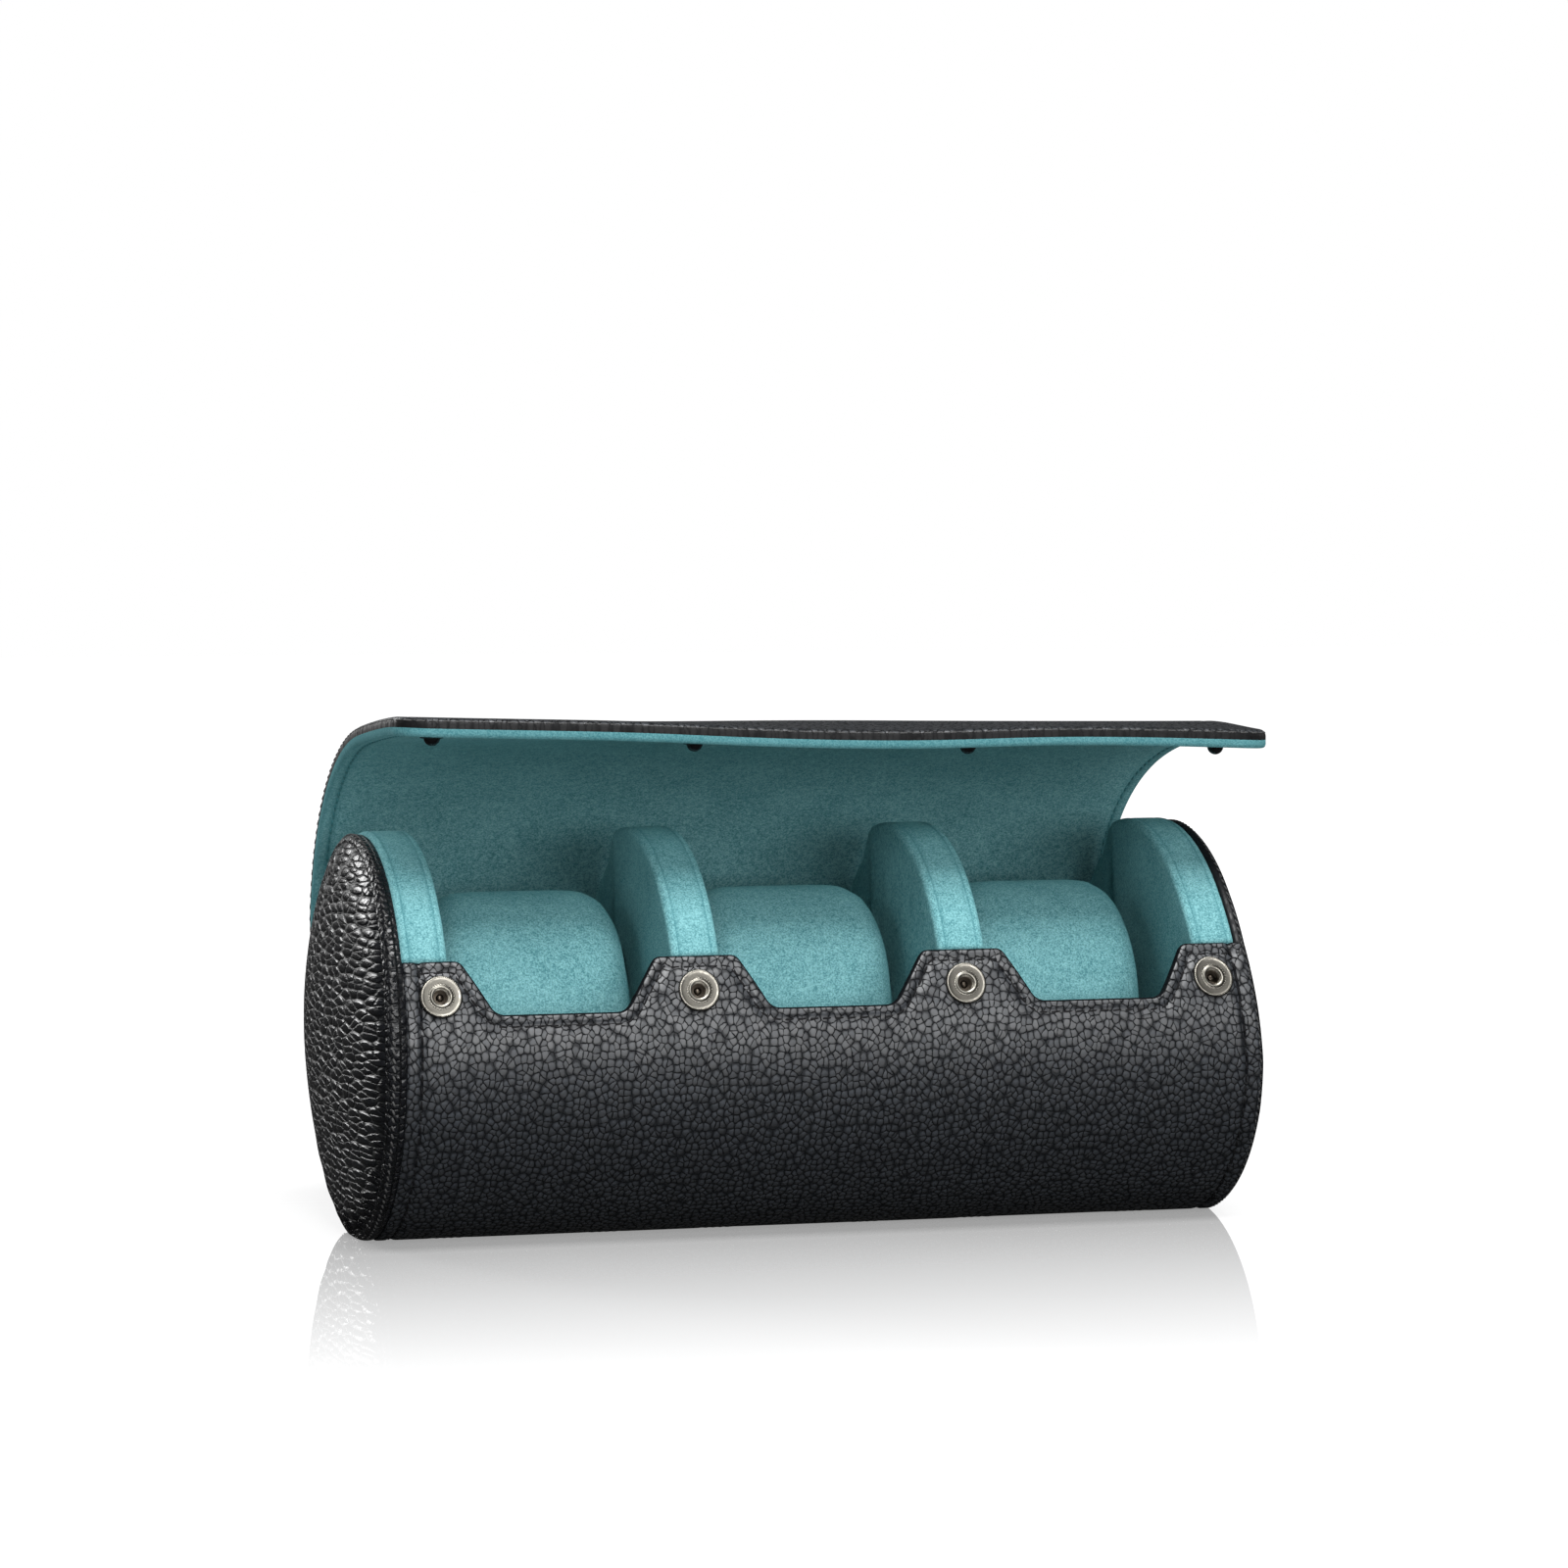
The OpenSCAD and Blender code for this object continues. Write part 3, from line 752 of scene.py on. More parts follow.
def emptied(holder: Material | bpy.types.World) -> NodeGraph:
    """Graph of a material or world, with no node in it."""
    holder.use_nodes = True
    holder.node_tree.nodes.clear()
    return NodeGraph(holder.node_tree)


def new_material(name: str, look: Colour) -> tuple[Material, NodeGraph]:
    """Makes a material without nodes.

    Args:
        name: the material's name.
        look: its colour in the plain viewport.

    Returns:
        The material and its graph.
    """
    material = bpy.data.materials.new(name)
    material.diffuse_color = look
    return material, emptied(material)


@dataclass(frozen=True)
class Leather:
    """Black pebbled leather with painted edges."""

    name: str
    group: bpy.types.NodeTree
    cell: float = 1.62 * MM
    stretch: Triple = (1.0, 0.85, 1.0)
    # The crease colour is painted shade in the creases and cell corners.
    crease: Colour = rgb(0.0028, 0.0033, 0.0040)
    top: Colour = rgb(0.022, 0.0255, 0.031)
    # Edge paint; on the wrap it also paints the seam's shadow under each hem stitch.
    paint: Colour = rgb(0.003, 0.0035, 0.0045)
    depth: float = 0.5 * MM
    paint_width: float = 0.45 * MM
    roughness: float = 0.45
    gloss: float = 0.06
    coat: float = 1.0
    coat_roughness: float = 0.46
    coat_ior: float = 1.75
    dome: float = 0.6

    def material(self) -> Material:
        """Makes the material."""
        made, g = new_material(self.name, self.top)
        place = g.node("Mapping", {"Vector": g.attribute(FLAT, "Vector"), "Scale": self.stretch})
        grain = g.node("Group", {
            "Place": place.outputs[0], "Edge": g.attribute(EDGE, "Fac"), "Cell": self.cell,
            "Crease Shade Colour": self.crease, "Cell Colour": self.top, "Edge Paint And Seam Shade Colour": self.paint,
            "Paint Width": self.paint_width, "Roughness": self.roughness, "Dome": self.dome,
        }, node_tree=self.group).outputs
        g.surface({"Base Color": grain["Color"], "Roughness": grain["Roughness"],
                   "Normal": g.bump(grain["Height"], self.depth, 1.0),
                   "Coat Weight": g.times(grain["Polish"], self.coat), "Coat Roughness": self.coat_roughness,
                   "Coat IOR": self.coat_ior, "Specular IOR Level": self.gloss})
        return made


@dataclass(frozen=True)
class Suede:
    """Teal suede with a brushed nap."""

    name: str
    group: bpy.types.NodeTree
    dark: Colour = rgb(0.034, 0.132, 0.150)
    light: Colour = rgb(0.192, 0.400, 0.418)
    depth: float = 0.16 * MM
    relief: float = 0.9
    roughness: float = 0.95
    gloss: float = 0.12
    sheen: float = 0.15
    sheen_roughness: float = 0.5
    sheen_tint: Colour = rgb(0.22, 0.75, 0.80)

    def material(self) -> Material:
        """Makes the material."""
        made, g = new_material(self.name, self.light)
        nap = g.node("Group", {"Place": g.attribute(FLAT, "Vector"), "Seam": g.attribute(EDGE, "Fac"),
                               "Dark": self.dark, "Light": self.light}, node_tree=self.group).outputs
        g.surface({"Base Color": nap["Color"], "Normal": g.bump(nap["Height"], self.depth, self.relief),
                   "Roughness": self.roughness, "Specular IOR Level": self.gloss,
                   "Sheen Weight": self.sheen, "Sheen Roughness": self.sheen_roughness,
                   "Sheen Tint": self.sheen_tint})
        return made


@dataclass(frozen=True)
class Plated:
    """Plated or lacquered metal with faint wear."""

    name: str
    colour: Colour
    metallic: float
    roughness: float
    gloss: float = 0.5
    wear_scale: float = 900.0
    worn: float = 0.72
    dulled: float = 0.08

    def material(self) -> Material:
        """Makes the material."""
        made, g = new_material(self.name, self.colour)
        wear = g.noise(g.node("TexCoord").outputs["Object"], self.wear_scale, 3.0).outputs[0]
        colour = g.mix(g.ramp(wear, (0.35, 0.7)), darker(self.colour, self.worn), self.colour)
        rough = g.ramp(wear, (0.3, 0.7), (self.roughness + self.dulled, self.roughness))
        g.surface({"Base Color": colour, "Roughness": rough, "Metallic": self.metallic,
                   "Specular IOR Level": self.gloss})
        return made


@dataclass(frozen=True)
class Thread:
    """Waxed sewing thread."""

    name: str
    colour: Colour
    ply_scale: float = 4200.0
    shaded: float = 0.45
    depth: float = 0.08 * MM
    relief: float = 0.7
    roughness: float = 0.7
    gloss: float = 0.15

    def material(self) -> Material:
        """Makes the material."""
        made, g = new_material(self.name, self.colour)
        ply = g.noise(g.node("TexCoord").outputs["Object"], self.ply_scale, 1.0).outputs[0]
        colour = g.mix(g.ramp(ply, (0.35, 0.65)), darker(self.colour, self.shaded), self.colour)
        g.surface({"Base Color": colour, "Normal": g.bump(ply, self.depth, self.relief),
                   "Roughness": self.roughness, "Specular IOR Level": self.gloss})
        return made


class Finish(Enum):
    """The finishes of the case."""

    WRAP = "wrap_leather"
    END = "end_leather"
    LID = "lid_leather"
    SUEDE = "suede"
    NICKEL = "nickel"
    HOLE = "socket_inside_shade"
    STUD = "black_stud"
    THREAD = "black_thread"
    PALE_THREAD = "grey_thread"
    SUEDE_THREAD = "teal_thread"


Finishes = dict[Finish, Material]


def make_finishes() -> Finishes:
    """Builds every material once."""
    pebbles, nap = pebble_group(), nap_group()
    black = rgb(0.006, 0.006, 0.007)
    kinds = {
        Finish.WRAP: Leather(Finish.WRAP.value, pebbles),
        Finish.END: Leather(Finish.END.value, pebbles, cell=1.9 * MM, stretch=(1, 1, 1),
                            top=rgb(0.007, 0.0075, 0.009), depth=0.8 * MM, roughness=0.19, gloss=0.25,
                            coat=0.0, dome=0.12),
        Finish.LID: Leather(Finish.LID.value, pebbles, paint_width=0.3 * MM, roughness=0.30, gloss=0.20,
                            paint=rgb(0.0015, 0.0015, 0.002)),
        Finish.SUEDE: Suede(Finish.SUEDE.value, nap),
        Finish.NICKEL: Plated(Finish.NICKEL.value, rgb(0.21, 0.20, 0.175), 1.0, 0.28),
        # Near-black metal for the cups behind the holes: painted shade of the holes' depth.
        Finish.HOLE: Plated(Finish.HOLE.value, rgb(0.06, 0.05, 0.04), 1.0, 0.3),
        Finish.STUD: Plated(Finish.STUD.value, black, 0.0, 0.14, 0.3),
        Finish.THREAD: Thread(Finish.THREAD.value, black),
        Finish.PALE_THREAD: Thread(Finish.PALE_THREAD.value, grey(0.07)),
        Finish.SUEDE_THREAD: Thread(Finish.SUEDE_THREAD.value, rgb(0.050, 0.200, 0.220)),
    }
    return {finish: kind.material() for finish, kind in kinds.items()}


# ------------------------------------------------------------------ wrap

@dataclass
class Wrap:
    """The leather wall with its four tabs, its suede lining and its hem stitches."""

    finishes: Finishes
    tab_rise: float = math.radians(26.2)
    notch_rise: float = math.radians(10.6)
    tab_width: float = 20.2 * MM
    end_tab_width: float = 14.2 * MM
    slant: float = 8 * MM
    tab_corner: float = 2.5 * MM
    notch_corner: float = 4 * MM
    edge_step: float = 0.62 * MM
    row_steps: Pair = (0.3 * MM, 1.6 * MM)
    leather: float = 2.3 * MM
    edge_round: float = 0.9 * MM
    lining_round: float = 0.8 * MM
    lining_in: float = 0.5 * MM
    back_angle: float = math.radians(-8)
    hem: float = 3.0 * MM
    end_hem: float = 4.1 * MM
    seam_depth: float = 0.6 * MM
    seam_width: float = 0.65 * MM
    stitch: Stitch = Stitch(width=0.62 * MM)
    dark_mark: float = 0.2 * MM
    dark_share: float = 0.7
    wave: float = 0.10 * MM
    dent: float = 2.0 * MM
    dent_radius: float = 3.9 * MM
    dent_slope: float = 1.2 * MM

    def edge_line(self) -> Array:
        """Front edge laid flat: place along the case and height along the arc."""
        top, low = FORM.radius * self.tab_rise, FORM.radius * self.notch_rise
        tab_in, tab_out = (FORM.divider_x + side * self.tab_width / 2 for side in (-1, 1))
        end_tab = FORM.shell_half - self.end_tab_width
        left = [(-FORM.shell_half, top), (-end_tab, top), (-end_tab + self.slant, low),
                (-tab_out - self.slant, low), (-tab_out, top), (-tab_in, top), (-tab_in + self.slant, low)]
        corners = [0, self.tab_corner, self.notch_corner, self.notch_corner, self.tab_corner,
                   self.tab_corner, self.notch_corner]
        right = [(-x, s) for x, s in reversed(left[1:])] + [(FORM.right_half, top)]
        return rounded_outline(left + right, corners + corners[::-1], self.edge_step)

    def rows(self, edge: Array, first: float) -> Array:
        """Heights along the arc of every column, from the front edge down and round to the back.

        Args:
            edge: the front edge laid flat, (n, 2).
            first: depth of the first row under the edge.

        Returns:
            Heights, shape (n, rows).
        """
        near_rows, far_rows = 12, 96
        back = -FORM.radius * (math.pi - self.back_angle)
        near = np.cumsum(np.concatenate([[0, first], np.linspace(*self.row_steps, near_rows)]))
        far = np.linspace(0, 1, far_rows)[1:]
        start = edge[:, 1:2] - near[-1]
        return np.concatenate([edge[:, 1:2] - near[None], start + (back - start) * far[None]], axis=1)

    def distances(self, edge: Array, heights: Array) -> tuple[Array, Array]:
        """Distance of each grid point to the front edge and to the wrap's ends."""
        place = stacked(edge[:, :1], heights)
        to_end = np.minimum(place[..., 0] + FORM.shell_half, FORM.right_half - place[..., 0])
        return distance_to_line(place, edge), to_end

    def surface(self, edge: Array, heights: Array, depth: Array, flat_depth: float) -> Array:
        """Places of the grid at a depth inside the wrap's outside.

        The arc is r = radius - depth, and under the foot it is cut flat.
        """
        angle = math.pi - heights / FORM.radius
        y, z = FORM.on_section(FORM.radius - depth, angle, flat_depth)
        return stacked(edge[:, :1], y, z)

    def shell(self) -> Piece:
        """The leather: pebbled outside, painted edge and a hidden inner face.

        Under each hem stitch a short mark of a small edge value paints the seam's shadow.
        """
        edge = self.edge_line()
        heights = self.rows(edge, 0.15 * MM)
        near, to_end = self.distances(edge, heights)
        drop = rounding(near, self.edge_round) + rounding(to_end, self.edge_round)
        mark = np.minimum(near, to_end)
        for gap, offset, run in ((near, self.hem, edge[:, :1]), (to_end, self.end_hem, heights)):
            seam = bell(gap, offset, self.seam_width)
            drop = drop + self.seam_depth * seam
            under_stitch = np.mod(run, self.stitch.pitch) < self.dark_share * self.stitch.pitch
            # A small edge value here takes the paint colour: painted shadow of the seam under each stitch.
            mark = np.where((seam > 0.6) & under_stitch, self.dark_mark, mark)
        outer = self.surface(edge, heights, drop + self.waves(edge, heights) + self.dents(edge, heights), 0.0)
        outer[..., 2] = np.maximum(outer[..., 2], 0)
        inner = self.surface(edge, heights, np.full_like(drop, self.leather), self.leather)
        maker = MeshMaker()
        maker.slab((outer, stacked(edge[:, :1], heights, 0), mark),
                   (inner, stacked(edge[:, :1], heights, self.leather), np.zeros_like(drop)))
        return maker.build("wrap_leather", self.finishes[Finish.WRAP])

    def waves(self, edge: Array, heights: Array) -> Array:
        """Slight unevenness of a hand-wrapped wall: two long crossed waves, none at the edge.

        Each wave is half a sine of a slope along the case times X and a slope round it times the
        height, in radians a metre; they fade in over a strip under the front edge.
        """
        x = edge[:, :1]
        wave = np.sin(x * 61 + heights * 43) * 0.5 + np.sin(x * 37 - heights * 71 + 1.3) * 0.5
        return self.wave * (wave + 1) * smooth((edge[:, 1:2] - heights) / (8 * MM))

    def dents(self, edge: Array, heights: Array) -> Array:
        """Round dents behind the sockets' holes, hidden under their rings."""
        height = FORM.radius * (math.pi - FORM.snap_angle)
        places = np.array(FORM.snap_places)
        gap = np.hypot(edge[:, :1, None] - places, (heights - height)[..., None]).min(axis=-1)
        return self.dent * smooth((self.dent_radius - gap) / self.dent_slope)

    def lining(self) -> Piece:
        """The suede inside the wall, from the leather to the inner face."""
        edge = self.edge_line()[::2]
        heights = self.rows(edge, 0.4 * MM)[:, ::2]
        near, to_end = self.distances(edge, heights)
        heights = heights - self.lining_in
        outer = self.surface(edge, heights, np.full_like(near, self.leather + 0.02 * MM), self.leather)
        inner_depth = FORM.wall - rounding(np.minimum(near, to_end), self.lining_round)
        inner = self.surface(edge, heights, inner_depth, FORM.wall)
        maker = MeshMaker()
        open_seam = np.ones_like(near)
        maker.slab((outer, stacked(edge[:, :1], heights, self.leather), open_seam),
                   (inner, stacked(edge[:, :1], heights, FORM.wall), open_seam))
        return maker.build("wrap_lining", self.finishes[Finish.SUEDE])

    def stitches(self) -> Piece:
        """Hem stitches along the front edge and along both ends of the wall."""
        edge = self.edge_line()
        hem = edge + unit(beside(np.gradient(edge, axis=0))) * self.hem
        left, right = self.end_hem - FORM.shell_half, FORM.right_half - self.end_hem
        hem = hem[(hem[:, 0] > left + 1 * MM) & (hem[:, 0] < right - 1 * MM)]
        hem = hem[distance_to_line(hem, edge) > self.hem * 0.97]
        top, bottom = FORM.radius * self.tab_rise - self.hem, -FORM.radius * math.pi * 0.99
        maker = MeshMaker()
        for line in (hem, *(np.array([[x, top], [x, bottom]]) for x in (left, right))):
            spots = self.stitch.spots(line)
            angle = math.pi - spots[:, 1] / FORM.radius
            radius = np.full(len(spots), FORM.radius - self.seam_depth + 0.04 * MM)
            y, z = FORM.on_section(radius, angle, 0.1 * MM)
            self.stitch.sew(maker, stacked(spots[:, 0], y, z), stacked(0, np.cos(angle), np.sin(angle)))
        return maker.build("hem_stitches", self.finishes[Finish.THREAD], merge=NO_MERGE)

    def build(self) -> None:
        """Makes the wrap's pieces; all ride on the case."""
        settle(self.shell(), "case", "black_leather", "shell_leather", "shell_board")
        settle(self.lining(), "case", "teal_suede", "shell_lining")
        settle(self.stitches(), "case", "black_leather")


# ------------------------------------------------------------------ ends

@dataclass
class End:
    """One end of the case: rolled rim, stitched fold and padded panel."""

    finishes: Finishes
    side: int
    rim_outer: float = 49.7 * MM
    rim_deep: float = 3.9 * MM
    rim_top: float = 108.9 * MM
    rim_power: float = 0.78
    rim_sunk: Pair = (1.0 * MM, 2.6 * MM)
    smooth_side: float = 1.3 * MM
    panel_radius: float = 48.3 * MM
    panel_edge: float = 108.2 * MM
    panel_height: float = 5.4 * MM
    panel_in: float = 0.4 * MM
    pull: float = 0.26
    rim_gather: float = 0.22 * MM
    panel_gather: float = 0.26 * MM
    stitch: Stitch = Stitch(1.5 * MM, 0.42 * MM, 0.42 * MM, tilt=0.3)
    around: int = 1200

    @property
    def label(self) -> str:
        """Left or right."""
        return "left" if self.side < 0 else "right"

    @property
    def rim_start(self) -> float:
        """Where the rim comes out of the wrap."""
        left, right = FORM.shell_half - self.rim_sunk[0], FORM.right_half - self.rim_sunk[1]
        return left if self.side < 0 else right

    @staticmethod
    def angles(around: int) -> Array:
        """Angles round the case axis, begun at the foot."""
        return ring(around, -math.pi / 2)

    def turned(self, profile: Array, puckers: Array) -> Array:
        """Profile of radius and place along the case, turned round the case axis.

        The radius gains a sine of 196 times the angle, as leather gathers in a tight fold. A sine
        of 7 times the angle makes its step uneven, one of 23 times its height, and the gathers
        grow from a tenth at the top to their whole at the foot.

        Args:
            profile: radius and place, (n, 2), where place counts outwards from the middle.
            puckers: depth of the gathers at each profile point, (n,).

        Returns:
            Points, shape (around, n, 3).
        """
        angle = self.angles(self.around)[:, None]
        gather = np.sin(angle * 196 + 2.2 * np.sin(angle * 7)) * (0.6 + 0.4 * np.sin(angle * 23 + 0.7))
        low = 0.10 + 0.90 * smooth((-np.sin(angle) - 0.1) / 0.8)
        radius = profile[None, :, 0] + puckers[None] * gather * low * 0.5
        place = profile[None, :, 1] + puckers[None] * gather * low
        y, z = FORM.on_section(radius, angle)
        return stacked(self.side * place, y, z)

    def rim(self) -> Piece:
        """Rolled rim: a superellipse section turned round the case axis.

        The right rim's side next to the wrap is painted smooth.
        """
        t = ring(48)
        half_x, half_r = (self.rim_top - self.rim_start) / 2, self.rim_deep / 2
        across, along = (np.sign(wave) * np.abs(wave) ** self.rim_power * half
                         for wave, half in ((np.cos(t), half_r), (np.sin(t), half_x)))
        profile = stacked(self.rim_outer - half_r + across, self.rim_start + half_x + along)
        puckers = self.rim_gather * smooth((np.sin(t) + 0.2) / 0.8) * smooth((0.6 - np.cos(t)) / 1.2)
        points = self.turned(profile, puckers)
        flat = stacked(self.angles(self.around)[:, None] * self.rim_outer, t[None] * 2 * MM, 0)
        smooth_side = self.smooth_side if self.side > 0 else 0.0
        edge = np.maximum(profile[None, :, 1] - self.rim_start - smooth_side, 0)
        maker = MeshMaker()
        maker.grid(points, flat, np.broadcast_to(edge, points.shape[:2]), close_u=True, close_v=True)
        return maker.build(f"rolled_rim_{self.label}", self.finishes[Finish.END])

    def panel(self) -> Piece:
        """Padded panel: place = edge + height * (1 - q^2.6)^0.6, where q is the share of the radius."""
        q = np.sin(np.linspace(0, math.pi / 2, 62))
        puffed = self.panel_edge + self.panel_height * (1 - q**2.6) ** 0.6
        inner = FORM.shell_half + self.panel_in
        back = [[self.panel_radius, inner + 1 * MM], [self.panel_radius - 1 * MM, inner], [0, inner]]
        profile = np.concatenate([stacked(self.panel_radius * q, puffed), back])
        puckers = self.panel_gather * smooth((profile[:, 0] / self.panel_radius - 0.84) / 0.12)
        puckers[-len(back):] = 0
        points = self.turned(profile, puckers)
        maker = MeshMaker()
        maker.grid(points, stacked(points[..., 1] * self.pull, points[..., 2], 0), close_u=True)
        return maker.build(f"padded_panel_{self.label}", self.finishes[Finish.END])

    def stitches(self) -> Piece:
        """Small stitches on the side of the rim, clear of the foot."""
        angle = self.angles(150)[7:-6]
        normals = stacked(0, np.cos(angle), np.sin(angle))
        centre = np.array([self.side * (self.rim_top - 1.2 * MM), 0, FORM.axis_height])
        points = normals * (self.rim_outer + 0.02 * MM) + centre
        maker = MeshMaker()
        self.stitch.sew(maker, points, normals)
        return maker.build(f"fold_stitches_{self.label}", self.finishes[Finish.PALE_THREAD], merge=NO_MERGE)

    def build(self) -> None:
        """Makes the end's pieces; they ride on the case."""
        settle(self.rim(), "case", "black_leather", f"end_rim_{self.label}")
        settle(self.panel(), "case", "black_leather", f"end_panel_{self.label}",
               f"end_padding_{self.label}", f"end_board_{self.label}")
        settle(self.stitches(), "case", "black_leather")


# ------------------------------------------------------------------ discs and dividers

@dataclass
class Disc:
    """A suede-covered disc that stands across the case, raised where the wrap is open."""

    finishes: Finishes
    name: str
    nodes: tuple[str, ...]
    low_x: float
    high_x: float
    disc_radius: float = 45.7 * MM
    band_radius: float = 50.4 * MM
    front_rise: float = math.radians(26.4)
    back_rise: float = math.radians(108)
    split_y: float = 12 * MM
    split_gap: float = 0.3 * MM
    foot_gap: float = 0.3 * MM
    rear_step: float = 0.8 * MM
    edge_round: float = 1.7 * MM
    seam_in: float = 1.8 * MM
    seam_depth: float = 0.28 * MM
    seam_width: float = 0.3 * MM
    step_slant: float = math.radians(3)
    face_rows: Pair = (14 * MM, 6 * MM)
    straight_in: float = 2.2 * MM
    steep: float = -0.6
    steep_reach: int = 6

    def disc(self, angles: Array) -> Array:
        """Points on the plain disc's rim, cut flat over the foot."""
        points = polar(self.disc_radius, angles)
        points[:, 1] = np.maximum(points[:, 1], -(FORM.axis_height - FORM.wall - self.foot_gap))
        return points

    def outline_front(self) -> Array:
        """Front part: up the split, over the raised band, down the front and round the bottom."""
        front_angle = math.pi - self.front_rise
        top = [[self.split_y, math.sqrt(self.band_radius**2 - self.split_y**2)]]
        band = np.linspace(math.acos(self.split_y / self.band_radius), front_angle, 70)
        foot_angle = math.pi * 1.5 + math.asin(self.split_y / self.disc_radius)
        lower = np.linspace(front_angle + self.step_slant, foot_angle, 80)
        line = np.concatenate([top, polar(self.band_radius, band)[1:], self.disc(lower), top])
        return resampled(line, 300)[:-1]

    def outline_rear(self) -> Array:
        """Rear part: the plain disc behind the split."""
        first = -math.acos(self.split_y / self.disc_radius)
        disc = self.disc(np.linspace(first, -first, 90))
        corner = polar(self.band_radius, np.array([math.pi - self.back_rise]))
        inner = disc[disc[:, 1] < corner[0, 1] * 0.86]
        split = self.split_y - self.split_gap
        walls = [[split, corner[0, 1] + 1 * MM], [split, disc[0, 1]]]
        return resampled(np.concatenate([inner, corner, walls, inner[:1]]), 220)[:-1]

    def profile(self, low: float, high: float) -> tuple[Array, Array, Array]:
        """Profile from the middle of one face, over the band, to the middle of the other.

        Args:
            low: place of one face along the case.
            high: place of the other.

        Returns:
            Place along the case, depth inside the outline and the share of the light tone, which drops in the
            seam's groove as painted shade.
        """
        r = self.edge_round
        t = np.linspace(0, math.pi / 2, 7)
        corner_x = [0, r * 0.02, *(r * (1 - np.cos(t)))]
        corner_in = [*self.face_rows, *(r * (1 - np.sin(t)))]
        band_x = [r + 0.25 * MM, self.seam_in + r * 0.4, *np.linspace(0.3, 0.5, 3) * (high - low)]
        x = np.array(corner_x + band_x)
        seam = bell(x, self.seam_in + 0.3 * MM, self.seam_width) * (np.arange(len(x)) >= len(corner_x))
        depth = np.array(corner_in + [0] * len(band_x)) + self.seam_depth * seam
        # Painted shade: the seam's groove keeps only a fifth of the light tone.
        unshaded_share = 1 - 0.8 * seam
        return tuple(np.concatenate([half, other[::-1][1:]]) for half, other in (
            (low + x, high - x), (depth, depth), (unshaded_share, unshaded_share)))

    def slab(self, maker: MeshMaker, outline: Array, low: float, high: float) -> None:
        """Adds a closed slab with rounded rims and a seam line near each rim; the seam's groove is painted
        darker as shade.

        The profile is swept along the outline. Where the outline runs nearly towards its middle,
        as at a step, the profile is turned to the middle too.

        Args:
            maker: takes the slab.
            outline: closed outline in the cross-section, (n, 2).
            low: place of one face along the case.
            high: place of the other.
        """
        x, depth, unshaded_share = self.profile(low, high)
        centre = outline.mean(0)
        normal = unit(beside(np.roll(outline, -1, axis=0) - np.roll(outline, 1, axis=0)))
        if ((outline - centre) * normal).sum() < 0:
            normal = -normal
        reach = np.linalg.norm(outline - centre, axis=1, keepdims=True)
        towards = (centre - outline) / reach
        steep = (normal * towards).sum(axis=1, keepdims=True) > self.steep
        spread = range(-self.steep_reach, self.steep_reach + 1)
        steep = np.any([np.roll(steep, k, axis=0) for k in spread], axis=0)
        normal = np.where(steep, -towards, normal)
        small = np.minimum(depth, self.straight_in)
        deep = np.minimum((depth - small)[None, :, None], reach[:, None] * 0.5)
        place = outline[:, None] - normal[:, None] * small[None, :, None] + towards[:, None] * deep
        lift = np.array([0, 0, FORM.axis_height])
        points = stacked(x, place[..., 0], place[..., 1]) + lift
        caps = [np.broadcast_to(np.array([end, *centre]) + lift, (len(outline), 1, 3)) for end in (low, high)]
        whole = np.concatenate([caps[0], points, caps[1]], axis=1)
        edge = np.broadcast_to(np.concatenate([[1], unshaded_share, [1]]), whole.shape[:2])
        maker.grid(whole, edge=edge, close_u=True)

    def build(self) -> None:
        """Makes the disc; it rides on the case."""
        maker = MeshMaker()
        self.slab(maker, self.outline_front(), self.low_x, self.high_x)
        low = self.low_x + (self.rear_step if self.low_x > -FORM.shell_half else 0)
        high = self.high_x - (self.rear_step if self.high_x < FORM.shell_half else 0)
        self.slab(maker, self.outline_rear(), low, high)
        settle(maker.build(self.name, self.finishes[Finish.SUEDE]), "case", "teal_suede", *self.nodes)


# ------------------------------------------------------------------ snaps

